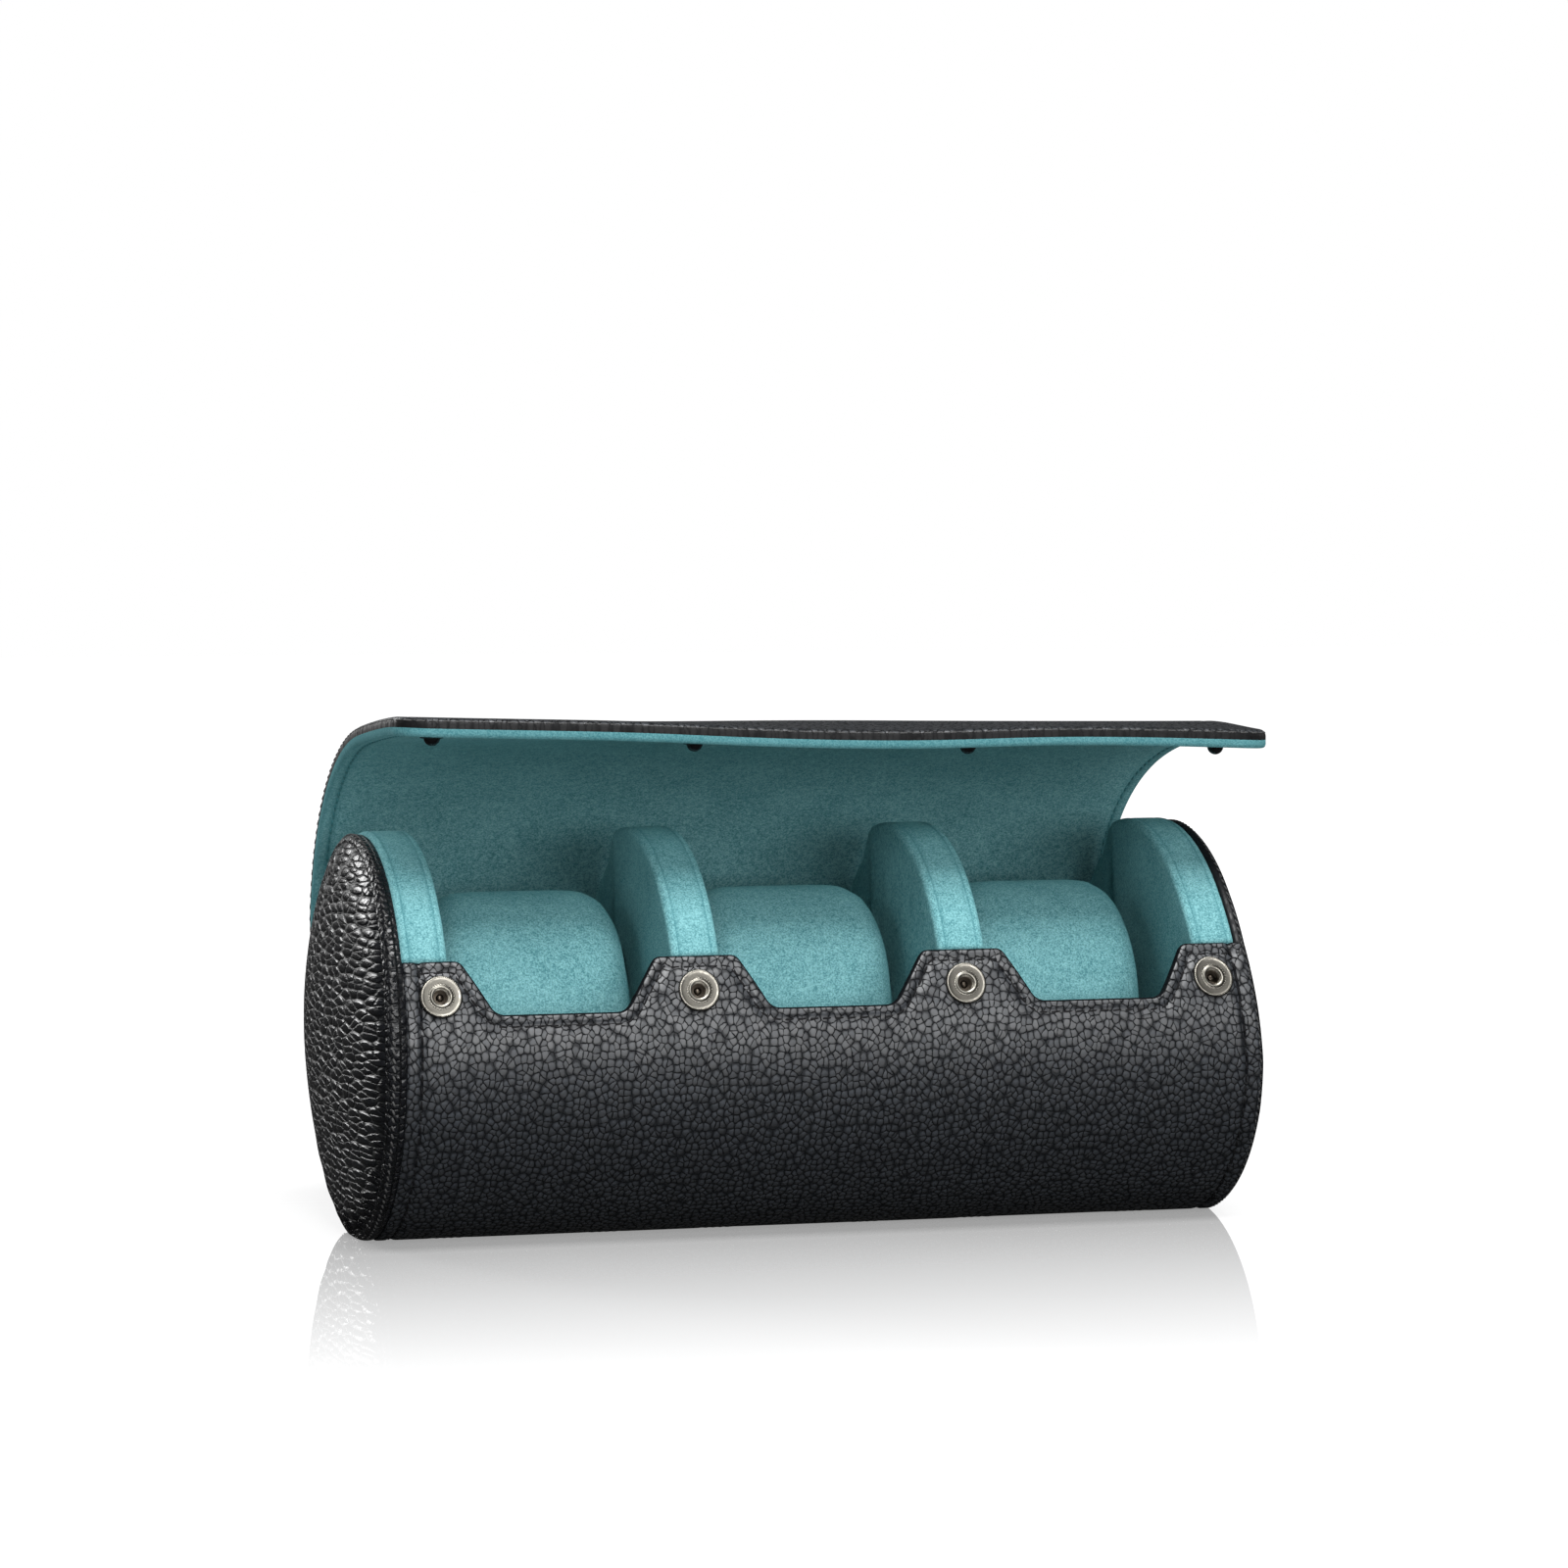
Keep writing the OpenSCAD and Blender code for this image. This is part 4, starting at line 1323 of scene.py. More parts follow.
@dataclass
class Snaps:
    """Nickel sockets in the tabs: milled rim, dished face, ring of beads and a hole whose inside is painted
    near black as shade.
    """

    finishes: Finishes
    radius: float = 5.1 * MM
    hole: float = 2.0 * MM
    proud: float = 0.8 * MM
    sink: float = 0.15 * MM
    milling: float = 0.032
    teeth: int = 32
    bead: float = 0.42 * MM
    beads: int = 30
    bead_ring: float = 0.60
    bead_rise: float = 0.72
    around: int = 384
    cup_around: int = 48
    rim: tuple[Pair, ...] = (
        (1, 0), (1, 0.35), (0.985, 0.62), (0.95, 0.80))
    face: tuple[Pair, ...] = (
        (0.90, 0.86), (0.87, 0.80), (0.80, 0.77), (0.70, 0.76), (0.60, 0.75), (0.54, 0.77), (0.515, 0.94),
        (0.48, 1), (0.44, 0.98))
    inside: tuple[Pair, ...] = ((1, -1.6), (1.06, -2.0), (0.9, -2.1), (0.9, -0.3))
    cup: tuple[Pair, ...] = ((0, -1.8), (1.1, -1.8), (1.1, -1.5), (0.5, -1.4), (0.4, -0.9), (0, -0.8))

    def place(self, x: float) -> tuple[Array, Array]:
        """Centre and axes of the socket at a place along the case."""
        sine, cosine = math.sin(FORM.snap_angle), math.cos(FORM.snap_angle)
        normal = np.array([0, cosine, sine])
        centre = np.array([x, 0, FORM.axis_height]) + normal * (FORM.radius - self.sink)
        return centre, np.array([[1.0, 0, 0], [0, sine, -cosine], normal])

    def socket(self) -> Array:
        """Grid of one socket in its own axes.

        The rim and the face are shares of the radius and of the height; the inside and the cup
        are shares of the hole's radius and heights in millimetres.
        """
        size = (self.radius, self.proud + self.sink)
        start = [(self.radius * 0.90, -0.3 * MM)]
        mouth = [(self.hole, size[1] * 0.85)]
        profile = np.concatenate([start, np.array(self.rim) * size, np.array(self.face) * size, mouth,
                                  np.array(self.inside) * (self.hole, MM)])
        index_of_rim = np.arange(len(profile))
        milled = ((index_of_rim >= 1) & (index_of_rim <= len(self.rim))).astype(float)

        def wave(angle: Array, index: Array) -> Array:
            """Milling on the rim only."""
            return self.milling * milled[index] * (np.abs(np.sin(angle * self.teeth)) - 0.5)

        return revolved(profile, self.around, wave)

    def build(self) -> None:
        """Makes the sockets, their beads and the cups behind the holes, painted near black as the holes'
        shade.
        """
        metal, cups = MeshMaker(), MeshMaker()
        shape = self.socket()
        bead, quads = stitch_shape(self.bead, self.bead, self.bead)
        circle = polar(self.radius * self.bead_ring, ring(self.beads))
        circle = stacked(*circle.T, (self.proud + self.sink) * self.bead_rise)
        cup = revolved(np.array(self.cup) * (self.hole, MM), self.cup_around)
        for x in FORM.snap_places:
            centre, axes = self.place(x)
            metal.grid(centre + shape @ axes, close_u=True, close_v=True)
            metal.copies(bead, quads, centre + circle @ axes, np.broadcast_to(axes, (self.beads, 3, 3)))
            cups.grid(centre + cup @ axes, close_u=True)
        sockets = metal.build("snap_socket_rings", self.finishes[Finish.NICKEL], merge=FINE_MERGE)
        backs = cups.build("snap_socket_cups", self.finishes[Finish.HOLE], merge=FINE_MERGE)
        settle(sockets, "case", "nickel", "snap_sockets")
        settle(backs, "case", "nickel", "socket_springs", "socket_backs")


# ------------------------------------------------------------------ lid

@dataclass
class Lid:
    """The flexible lid: leather and lining that bend from the wrap's back over to the front flap."""

    finishes: Finishes
    half: float = 108.2 * MM
    hinge_half: float = 105.7 * MM
    right_half: float = 111.2 * MM
    right_hinge_half: float = 104.8 * MM
    narrow: float = 18 * MM
    widening: float = 14 * MM
    leather: float = 2.5 * MM
    lining: float = 2.1 * MM
    corner: float = 9 * MM
    crown_from: float = 110 * MM
    crown_reach: float = 55 * MM
    front_from: float = 48 * MM
    front_reach: float = 46 * MM
    crown_rise: tuple[Pair, ...] = ((-112, 0.4), (-50, -0.1), (0, 0), (50, -0.8), (112, -1.35))
    front_rise: tuple[Pair, ...] = (
        (-112, 3.1), (-100, 2.7), (-75, 1.95), (-50, 1.1), (-25, -0.2), (0, -1.2), (25, -1.5), (50, -1.15),
        (75, -1.45), (100, -2.3), (112, -2.8))
    edge_round: float = 1.0 * MM
    roll: float = 1.6 * MM
    roll_seam: Pair = (0.36 * MM, -0.74 * MM)
    hem: float = 2.9 * MM
    seam_depth: float = 0.2 * MM
    seam_width: float = 0.7 * MM
    stitch: Stitch = Stitch()
    stitch_sunk: float = 0.04 * MM
    row: float = 1.5 * MM
    tail_steps: Pair = (0.25 * MM, 1.5 * MM)
    stud_inset: float = 11.2 * MM
    stud_places: tuple[float, ...] = (-98.0 * MM, -33.7 * MM, 35.2 * MM, 99.4 * MM)
    stud_ball: float = 2.0 * MM
    stud_proud: float = 2.2 * MM
    stud_flange: tuple[Pair, ...] = ((1.4, -0.5), (2.6, -0.35), (3.0, -0.1), (3.0, 0.4), (0, 0.4))
    hinge_reach: Pair = (3 * MM, 10 * MM)
    fold_reach: float = 14 * MM
    knots: tuple[Pair, ...] = (
        (49.5, -7), (51.2, 1), (54.9, 12), (56.6, 24), (53.6, 37), (44.2, 52), (29.5, 64.2), (10, 72.8),
        (-12, 76.8), (-34, 77.4), (-56, 77.3))

    def __post_init__(self) -> None:
        """Works out the outside line of the lid, its normals and the rises over it."""
        self.line = spline(np.array(self.knots) * MM, 400)
        self.length = float(run_along(self.line)[-1])
        self.run = np.linspace(0, self.length, len(self.line))
        self.normals = unit(beside(np.gradient(self.line, axis=0)))
        self.rises = [spline(np.array(knots) * MM, 200) for knots in (self.crown_rise, self.front_rise)]

    def half_at(self, s: Array, side: Array) -> Array:
        """Half width at a length s from the hinge, left or right of the middle.

        It is narrower where it passes between the rims, and the right side fans out to the front.
        """
        left = self.hinge_half + (self.half - self.hinge_half) * smooth((s - self.narrow) / self.widening)
        fan = smooth((s - self.narrow) / (self.length - self.narrow - 6 * MM))
        right = self.right_hinge_half + (self.right_half - self.right_hinge_half) * fan
        return np.where(side < 0, left, right)

    def end_at(self, x: Array) -> Array:
        """Length from the hinge to the front edge at x: the two corners are rounded."""
        straight = np.where(x < 0, self.half, self.right_half) - self.corner
        over = np.clip(np.abs(x) - straight, 0, self.corner)
        return self.length - (self.corner - np.sqrt(np.maximum(self.corner**2 - over**2, 0)))

    def place(self, x: Array, s: Array, off: Array) -> Array:
        """Place at x, at length s from the hinge and off the outside line by off, outwards."""
        y, z, ny, nz = (np.interp(s, self.run, values) for values in (*self.line.T, *self.normals.T))
        crown, front = (np.interp(x, table[:, 0], table[:, 1]) for table in self.rises)
        over = smooth((s - self.length + self.crown_from) / self.crown_reach)
        out = smooth((s - self.length + self.front_from) / self.front_reach)
        rise = crown * over + (front - crown) * out + FORM.axis_height
        return stacked(x, y + ny * off, z + nz * off + rise)

    def border(self, x: Array, s: Array) -> Array:
        """Distance to the lid's side and front edges, laid flat."""
        side, front = self.half_at(s, x) - np.abs(x), self.length - s
        dx, ds = self.corner - side, self.corner - front
        near_corner = self.corner - np.hypot(np.maximum(dx, 0), np.maximum(ds, 0))
        return np.maximum(np.where((dx > 0) & (ds > 0), near_corner, np.minimum(side, front)), 0)

    def band(self, name: str, start: float, end: float | None, outer: Pair, inner: Pair, finish: Finish
             ) -> Piece:
        """One closed band of leather or lining.

        Args:
            name: the piece's name.
            start: length from the hinge where it starts.
            end: where it ends, or None for the lid's front edge.
            outer: height of its upper face over the outside line, and that edge's rounding.
            inner: the same for its lower face.
            finish: its finish.

        Returns:
            The piece.
        """
        u = spaced((-1, 1), 0.0022, 0.0125, 0.10)
        span = (self.length if end is None else end) - start
        rows = int(span / self.row) + 2
        t = np.linspace(0, 1, rows)
        if end is None:
            tail = np.concatenate([[0], np.cumsum(np.linspace(*self.tail_steps, 10))]) / span
            t = np.concatenate([np.linspace(0, 1 - tail[-1], rows), (1 - tail)[::-1][1:]])
        wide = u[:, None] * np.ones_like(t)[None]
        x = wide * self.half_at(start + span * t[None], wide)
        last = self.end_at(x) if end is None else np.full_like(x, end)
        s = start + (last - start) * t[None]
        edge = self.border(x, s)
        seam = bell(edge, self.hem, self.seam_width)
        cloth = finish is Finish.SUEDE
        # On the lining the edge value is painted shade: darker in the hem seam's groove and along the front
        # edge.
        mark = 1 - 0.75 * seam - 0.6 * bell(edge, 0, self.edge_round) if cloth else edge
        faces = []
        for (height, r), sign in ((outer, -1), (inner, 1)):
            off = np.full_like(edge, height)
            if r > 0:
                off = off + sign * (rounding(edge, r) + seam * self.seam_depth)
            faces.append((self.place(x, s, off), stacked(x, s, off)))
        maker = MeshMaker(lean=False)
        maker.slab((*faces[0], mark), (*faces[1], mark if cloth else np.zeros_like(edge)))
        return maker.build(name, self.finishes[finish])

    def hem_line(self, inset: float) -> Array:
        """Seam that follows the lid's sides and front edge at an inset, as x and s."""
        s = np.linspace(self.corner, self.length - self.corner, 120)
        turn = polar(self.corner - inset, np.linspace(0, math.pi / 2, 14))
        sides = []
        for sign, half in ((1, self.right_half), (-1, self.half)):
            straight = stacked(sign * (self.half_at(s, np.full_like(s, sign)) - inset), s)
            bend = np.array([half - self.corner, self.length - self.corner]) + turn
            sides.append(np.concatenate([straight, bend * (sign, 1)]))
        return np.concatenate([sides[0], sides[1][::-1]])

    def stitches(self, name: str, ends: Pair, inset: float, off: float, finish: Finish) -> Piece:
        """Hem stitches on the leather's roll or on the lining.

        Args:
            name: the piece's name.
            ends: lengths from the hinge between which they lie.
            inset: distance of the seam to the edge.
            off: height of the seam over the outside line.
            finish: the thread.

        Returns:
            The piece.
        """
        spots = self.stitch.spots(self.hem_line(inset))
        points, above = (self.place(spots[:, 0], spots[:, 1], np.full(len(spots), height))
                         for height in (off, off + 1 * MM))
        outwards = 1 if off > -self.leather / 2 else -1
        keep = (spots[:, 1] >= ends[0]) & (spots[:, 1] < ends[1])
        maker = MeshMaker(lean=False)
        self.stitch.sew(maker, points, (above - points) * outwards, keep)
        return maker.build(name, self.finishes[finish], merge=NO_MERGE)

    def studs(self) -> Piece:
        """Black studs on the lining of the front flap, a ball on a short shank with a flange."""
        turn = np.linspace(math.pi, math.pi * 0.23, 14)
        ball = stacked(self.stud_ball * np.sin(turn),
                       self.stud_ball - self.stud_proud + self.stud_ball * np.cos(turn))
        shape = revolved(np.concatenate([ball, np.array(self.stud_flange) * MM]), 40)
        maker = MeshMaker(lean=False)
        back, face = np.array([self.length - self.stud_inset]), -(self.leather + self.lining)
        for x in self.stud_places:
            low, high = (self.place(np.array([x]), back, np.array([off]))[0] for off in (face, face + 1 * MM))
            normal = unit(high - low)
            along = unit(np.cross(np.array([0.0, 1.0, 0.0]), normal))
            maker.grid(low + shape @ np.stack([along, np.cross(normal, along), normal]), close_u=True)
        return maker.build("snap_stud_balls", self.finishes[Finish.STUD], merge=FINE_MERGE)

    def build(self) -> None:
        """Makes the lid in three stretches, cut halfway from the hinge to the rear fold and halfway between
        the folds; no stretch is attached to a body.
        """
        joints = {j["name"]: Vector(j["pos_m"]) for j in frame["joints"] if "pos_m" in j}
        hinge, rear, front = (joints[name] for name in ("lid_hinge", "flap_fold_rear", "flap_fold_front"))
        rear_s, front_s = (self.run[np.abs(self.line[:, 0] - fold.y).argmin()] for fold in (rear, front))
        cuts = (0.0, rear_s * 0.5, (rear_s + front_s) / 2, None)
        before, after = (Vector((0, 0, reach)) for reach in (-self.hinge_reach[0], self.hinge_reach[1]))
        fold = Vector((0, self.fold_reach, 0))
        parts = (
            ("hinge", ("case", "lid"), (hinge + before, hinge + after), ("lid_board",), ()),
            ("crown", ("lid", "flap_rear"), (rear + fold, rear - fold),
             ("lid_leather", "flap_rear_leather"), ("lid_lining", "flap_rear_lining")),
            ("flap", ("flap_rear", "flap_front"), (front + fold, front - fold),
             ("flap_front_leather",), ("flap_front_lining",)))
        below = -self.leather - self.lining
        thread_at = below + self.seam_depth - self.stitch_sunk
        for (part, bodies, reach, *nodes), start, end in zip(parts, cuts, cuts[1:]):
            ends = (start, math.inf if end is None else end)
            pieces = (
                (self.band(f"lid_{part}_leather", start, end, (0.0, self.roll), (-self.leather, 0.0),
                           Finish.LID), "black_leather", nodes[0]),
                (self.band(f"lid_{part}_lining", start, end, (-self.leather, 0.0), (below, self.edge_round),
                           Finish.SUEDE), "teal_suede", nodes[1]),
                (self.stitches(f"lid_{part}_stitches", ends, *self.roll_seam, Finish.PALE_THREAD),
                 "black_leather", ()),
                (self.stitches(f"lid_{part}_lining_stitches", ends, self.hem, thread_at, Finish.SUEDE_THREAD),
                 "teal_suede", ()))
            for piece, slot, replaced in pieces:
                if replaced:
                    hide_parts(*replaced)
                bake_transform(piece)
                log.info("made %s", piece.name)
        settle(self.studs(), "flap_front", "black_nickel", "snap_studs", "stud_posts")


# ------------------------------------------------------------------ cushions

@dataclass
class Cushion:
    """A watch cushion: a plump roll of suede, wide at the top, with sewn end discs."""

    finishes: Finishes
    side: str
    top_radius: float = 28 * MM
    top_centre: Pair = (1.5 * MM, 9 * MM)
    foot_radius: float = 22 * MM
    lift: float = 30 * MM
    slack: float = 0.045
    voxel: float = 2.6 * MM
    pressure: float = 4
    frames: int = 20
    most_move: float = 3.0 * MM
    margin: float = 0.1 * MM
    seam_in: float = 3.2 * MM
    seam_width: float = 0.55 * MM
    seam_depth: float = 0.7 * MM
    fill: float = 0.85

    @property
    def box(self) -> tuple[Vector, Vector]:
        """The room of the cushion's cover."""
        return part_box(f"cushion_cover_{self.side}")

    def form(self, shrink: float) -> Array:
        """Grid of the roll: an outline round the X axis, drawn in towards both ends.

        The outline at an angle is the outer hull of a wide circle over a narrow one; at a share q of
        the half length it is scaled by (1 - q^7)^0.3.
        """
        low, high = self.box
        foot = np.array([0.0, low.z + self.foot_radius - FORM.axis_height])
        top = np.array(self.top_centre)
        a = ring(120)
        ray = polar(1.0, a)
        support = np.maximum(ray @ top + self.top_radius, ray @ foot + self.foot_radius)
        turn = (np.roll(support, -1) - np.roll(support, 1)) / (2 * (a[1] - a[0]))
        outline = support[:, None] * ray - turn[:, None] * beside(ray)
        centre = (top + foot) / 2
        q = np.sin(np.linspace(-math.pi / 2, math.pi / 2, 41))
        scale = np.maximum(1 - np.abs(q) ** 7, 0) ** 0.30
        middle, half = (low.x + high.x) / 2, (high.x - low.x) / 2
        section = centre + (outline[None] - centre) * (scale * (1 - shrink))[:, None, None]
        x = (middle + q * half * (1 - shrink))[:, None]
        return stacked(x, section[..., 0], section[..., 1] + FORM.axis_height)

    @staticmethod
    def apply(piece: Piece, kind: str, **settings: object) -> None:
        """Adds a modifier with its settings to a piece and applies it."""
        modifier = piece.modifiers.new(kind.lower(), kind)
        for key, value in settings.items():
            setattr(modifier, key, value)
        bpy.context.view_layer.objects.active = piece
        piece.select_set(True)
        bpy.ops.object.modifier_apply(modifier=modifier.name)

    def inflate(self, piece: Piece) -> None:
        """Swells the pad as cloth under pressure and keeps it inside its room."""
        self.apply(piece, "REMESH", mode="VOXEL", voxel_size=self.voxel)
        before = read_points(piece.data, "co")
        cloth = piece.modifiers.new("cloth", "CLOTH")
        cloth.settings.use_pressure = True
        cloth.settings.uniform_pressure_force = self.pressure
        cloth.settings.effector_weights.gravity = 0
        cloth.point_cache.frame_end = self.frames
        for step in range(1, self.frames + 1):
            bpy.context.scene.frame_set(step)
        move = read_points(piece.evaluated_get(bpy.context.evaluated_depsgraph_get()).data, "co") - before
        piece.modifiers.remove(cloth)
        bpy.context.scene.frame_set(1)
        size = np.maximum(np.linalg.norm(move, axis=1, keepdims=True), TINY)
        low, high = (np.array(corner) for corner in self.box)
        capped = before + move * np.minimum(1, self.most_move / size)
        capped = np.clip(capped, low + self.margin, high - self.margin)
        piece.data.vertices.foreach_set("co", capped.ravel())
        piece.data.update()

    def finish_mesh(self, piece: Piece) -> None:
        """Adds the sewn seam round each end, leans the pad with the case and writes its flat places.

        The pad leans no further out than the case does at any height that the pad is lifted to.
        """
        low, high = self.box
        self.apply(piece, "SUBSURF", levels=1, render_levels=1)
        flat, normals = (read_points(piece.data, what) for what in ("co", "normal"))
        middle, half = (low.x + high.x) / 2, (high.x - low.x) / 2
        seam = bell(half - np.abs(flat[:, 0] - middle), self.seam_in, self.seam_width)
        flat = flat - normals * (self.seam_depth * seam)[:, None]
        lifted = FORM.leaned(flat + np.array([0, 0, self.lift]))
        co = FORM.leaned(flat)
        co[:, 0] = np.minimum(co[:, 0], lifted[:, 0])
        piece.data.vertices.foreach_set("co", co.ravel())
        # The edge value drops in the seam's groove, where the suede is painted darker as shade.
        write_looks(piece.data, flat, 1 - 0.7 * seam)
        piece.data.update()
        piece.data.shade_smooth()

    def build(self) -> None:
        """Makes the cushion; it rides on its own body."""
        maker = MeshMaker(lean=False)
        maker.grid(self.form(self.slack), close_v=True)
        piece = maker.build(f"cushion_{self.side}", self.finishes[Finish.SUEDE])
        self.inflate(piece)
        self.finish_mesh(piece)
        settle(piece, f"cushion_{self.side}", "teal_suede", f"cushion_cover_{self.side}",
               f"cushion_core_{self.side}")


# ------------------------------------------------------------------ studio

@dataclass(frozen=True)
class Lamp:
    """A rectangular soft light that the camera doesn't see."""

    name: str
    place: Triple
    size: Pair
    power: float

    def build(self, aim: Sequence[float]) -> None:
        """Adds the lamp, turned to its aim."""
        data = bpy.data.lights.new(self.name, "AREA")
        data.shape = "RECTANGLE"
        data.size, data.size_y = self.size
        data.energy = self.power
        lamp = bpy.data.objects.new(self.name, data)
        lamp.location = self.place
        lamp.visible_camera = False
        lamp.rotation_euler = (Vector(aim) - Vector(self.place)).to_track_quat("-Z", "Y").to_euler()
        bpy.context.scene.collection.objects.link(lamp)


LAMPS = (
    Lamp("key", (0.0, -1.05, 1.75), (1.0, 0.7), 55),
    Lamp("side", (-0.35, -1.75, 1.02), (0.5, 0.5), 15),
    Lamp("front", (0.20, -1.85, 0.25), (1.1, 0.4), 19),
    Lamp("left", (-1.70, -0.70, 0.45), (0.5, 0.5), 4.5),
    Lamp("left_strip", (-0.95, 1.50, 0.75), (0.6, 1.0), 20),
    Lamp("right_strip", (1.6, 0.4, 0.6), (0.3, 0.8), 3),
)


def spun(a: Vector, b: Vector, angle: float) -> tuple[Vector, Vector]:
    """Two square vectors, turned by an angle from the first towards the second."""
    cosine, sine = math.cos(angle), math.sin(angle)
    return a * cosine + b * sine, b * cosine - a * sine


@dataclass
class Studio:
    """Pale floor, soft light and the camera.

    The camera's focal length and aim are in pixels of a picture that is 1600 wide.
    """

    sensor: float = 36
    pixels: float = 1600
    focal: float = 5358.7
    distance: float = 1316.1 * MM
    turn: float = 0.2804
    rise: float = 0.0939
    aim: Pair = (793.9 - 800, 1046.3 - 800)
    roll: float = -0.0015
    clip: Pair = (0.05, 50)
    lit_centre: Triple = (0, 0, 0.06)
    sky: Colour = rgb(0.92, 0.95, 1.0)
    ambient: float = 0.16
    glossy_white: float = 0.035
    floor_half: float = 6.0
    floor_drop: float = 0.1 * MM
    bounce: float = 0.29
    hidden: float = 0.97
    glow_reach: Pair = (0.10, 0.60)
    glow: Pair = (0.71, 0.985)
    mirror: float = 0.56
    mirror_reach: float = 0.41
    mirror_run: float = 0.37
    mirror_power: float = 1.4
    mirror_back: float = 0.25

    def camera(self) -> None:
        """Places the camera: it orbits the case axis, then pans, tilts and rolls to frame it."""
        st, ct, se, ce = math.sin(self.turn), math.cos(self.turn), math.sin(self.rise), math.cos(self.rise)
        ahead = Vector((st * ce, ct * ce, -se))
        right = Vector((ct, -st, 0))
        up = right.cross(ahead)
        place = -ahead * self.distance + Vector((0, 0, FORM.axis_height))
        ahead, right = spun(ahead, right, -math.atan(self.aim[0] / self.focal))
        ahead, up = spun(ahead, up, math.atan(self.aim[1] / self.focal))
        right, up = spun(right, up, self.roll)
        data = bpy.data.cameras.new("camera")
        data.lens = self.focal / self.pixels * self.sensor
        data.sensor_width = self.sensor
        data.clip_start, data.clip_end = self.clip
        camera = bpy.data.objects.new("camera", data)
        rows = [(*values, at) for *values, at in zip(right, up, -ahead, place)]
        camera.matrix_world = Matrix((*rows, (0, 0, 0, 1)))
        bpy.context.scene.collection.objects.link(camera)
        bpy.context.scene.camera = camera

    @staticmethod
    def rays(g: NodeGraph) -> tuple[Socket, Socket, Socket]:
        """Whether the camera sees a point, plain or through glass, whether glossily, and whether sharply."""
        path = g.node("LightPath").outputs
        seen = g.math("MAXIMUM", path["Is Camera Ray"], path["Is Transmission Ray"])
        return seen, path["Is Glossy Ray"], path["Is Singular Ray"]

    def world(self) -> None:
        """World that is white to the camera, dark to rough gloss and faint for all other rays."""
        world = bpy.data.worlds.new("world")
        g = emptied(world)
        seen, glossy, sharp = self.rays(g)
        polished = g.times(glossy, g.math("MAXIMUM", sharp, self.glossy_white))
        white = g.node("Background", {"Color": WHITE, "Strength": g.math("ADD", seen, polished, clamp=True)})
        ambient = g.node("Background", {"Color": self.sky, "Strength": self.ambient})
        share = g.math("MAXIMUM", seen, glossy)
        pick = g.node("MixShader", {0: share, 1: ambient.outputs[0], 2: white.outputs[0]})
        g.node("OutputWorld", {0: pick.outputs[0]})
        bpy.context.scene.world = world

    def floor(self) -> None:
        """Wide pale floor: plain and shadowed near the case, pure white far off, faint mirror in front.

        The mirror's share falls off smoothly with the distance in front of the case, and the white
        glow that camera and glossy rays see grows with the distance from the case.
        """
        size = self.floor_half
        mesh = bpy.data.meshes.new("floor")
        mesh.from_pydata([(-size, -size, 0), (size, -size, 0), (size, size, 0), (-size, size, 0)], [],
                         [(0, 1, 2, 3)])
        floor = bpy.data.objects.new("floor", mesh)
        floor.location = (0, 0, -self.floor_drop)
        bpy.context.scene.collection.objects.link(floor)
        material = bpy.data.materials.new("floor")
        g = emptied(material)
        place = g.node("TexCoord").outputs["Object"]
        ahead = g.node("SeparateXYZ", {0: place}).outputs[1]
        reach = g.node("VectorMath", {0: place}, operation="LENGTH").outputs["Value"]
        seen, glossy, _ = self.rays(g)
        seen_white = g.math("ADD", seen, g.times(glossy, self.glossy_white), clamp=True)
        dim = g.times(g.less(1.0, g.times(glossy, self.hidden)), self.bounce)
        tone = g.node("CombineColor", {0: dim, 1: dim, 2: dim})
        diffuse = g.node("BsdfDiffuse", {"Color": tone.outputs[0]})
        strength = g.times(g.ramp(reach, self.glow_reach, self.glow), seen_white)
        glow = g.node("Emission", {"Color": WHITE, "Strength": strength})
        base = g.node("AddShader", {0: diffuse.outputs[0], 1: glow.outputs[0]})
        mirror = g.node("BsdfGlossy", {"Color": WHITE, "Roughness": 0.0})
        near = g.times(g.plus(ahead, self.mirror_reach), 1 / self.mirror_run)
        near = g.math("POWER", g.math("MAXIMUM", near, 0.0), self.mirror_power)
        fade = g.ramp(ahead, (0.0, self.mirror_back), (1.0, 0.0))
        camera = g.node("LightPath").outputs["Is Camera Ray"]
        share = g.times(g.math("MINIMUM", near, 1.0), self.mirror, fade, camera)
        mixed = g.node("MixShader", {0: share, 1: base.outputs[0], 2: mirror.outputs[0]})
        g.node("OutputMaterial", {0: mixed.outputs[0]})
        mesh.materials.append(material)

    def build(self) -> None:
        """Sets the whole stage."""
        self.camera()
        for lamp in LAMPS:
            lamp.build(self.lit_centre)
        self.world()
        self.floor()
        bpy.context.scene.view_settings.view_transform = "Standard"


# ------------------------------------------------------------------ assembly

def discs(finishes: Finishes) -> Iterable[Disc]:
    """The two end discs and the two dividers."""
    thickness, end_face, right_gap = 12 * MM, 94.4 * MM, 2.4 * MM
    for side, sign in (("left", -1), ("right", 1)):
        middle = sign * FORM.divider_x
        yield Disc(finishes, f"divider_{side}", (f"divider_suede_{side}", f"divider_core_{side}"),
                   middle - thickness / 2, middle + thickness / 2)
        ends = sorted((sign * end_face, -FORM.shell_half if sign < 0 else FORM.right_half - right_gap))
        yield Disc(finishes, f"end_disc_{side}", (f"end_disc_suede_{side}", f"end_disc_core_{side}"), *ends)


def main() -> None:
    """Builds the case and its stage."""
    logging.basicConfig(level=logging.INFO, format="%(name)s %(message)s")
    finishes = make_finishes()
    Studio().build()
    Wrap(finishes).build()
    for side in (-1, 1):
        End(finishes, side).build()
    for disc in discs(finishes):
        disc.build()
    Snaps(finishes).build()
    Lid(finishes).build()
    for side in ("left", "middle", "right"):
        Cushion(finishes, side).build()


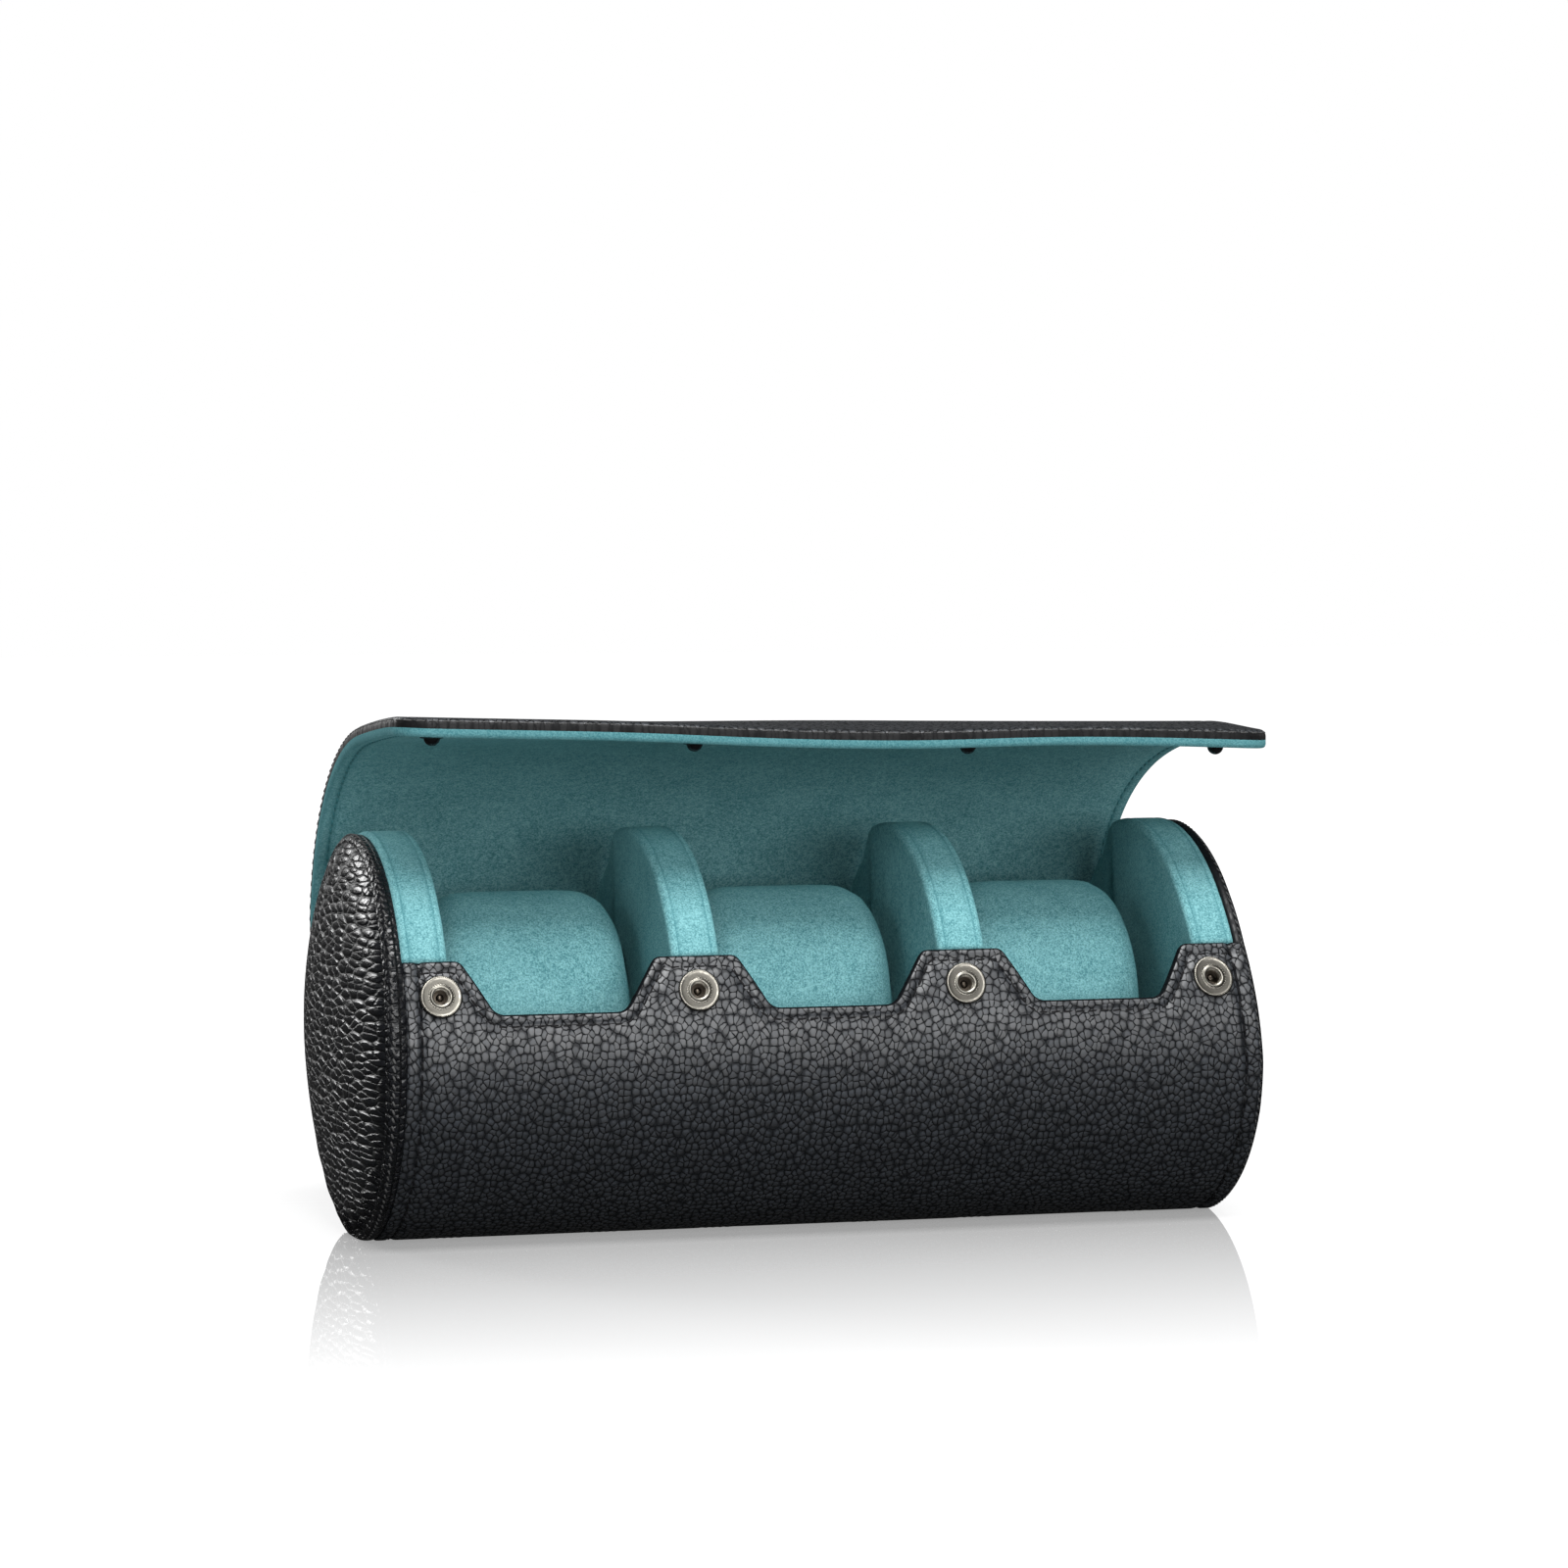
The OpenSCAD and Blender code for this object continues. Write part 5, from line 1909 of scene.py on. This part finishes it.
if __name__ == "__main__":
    main()
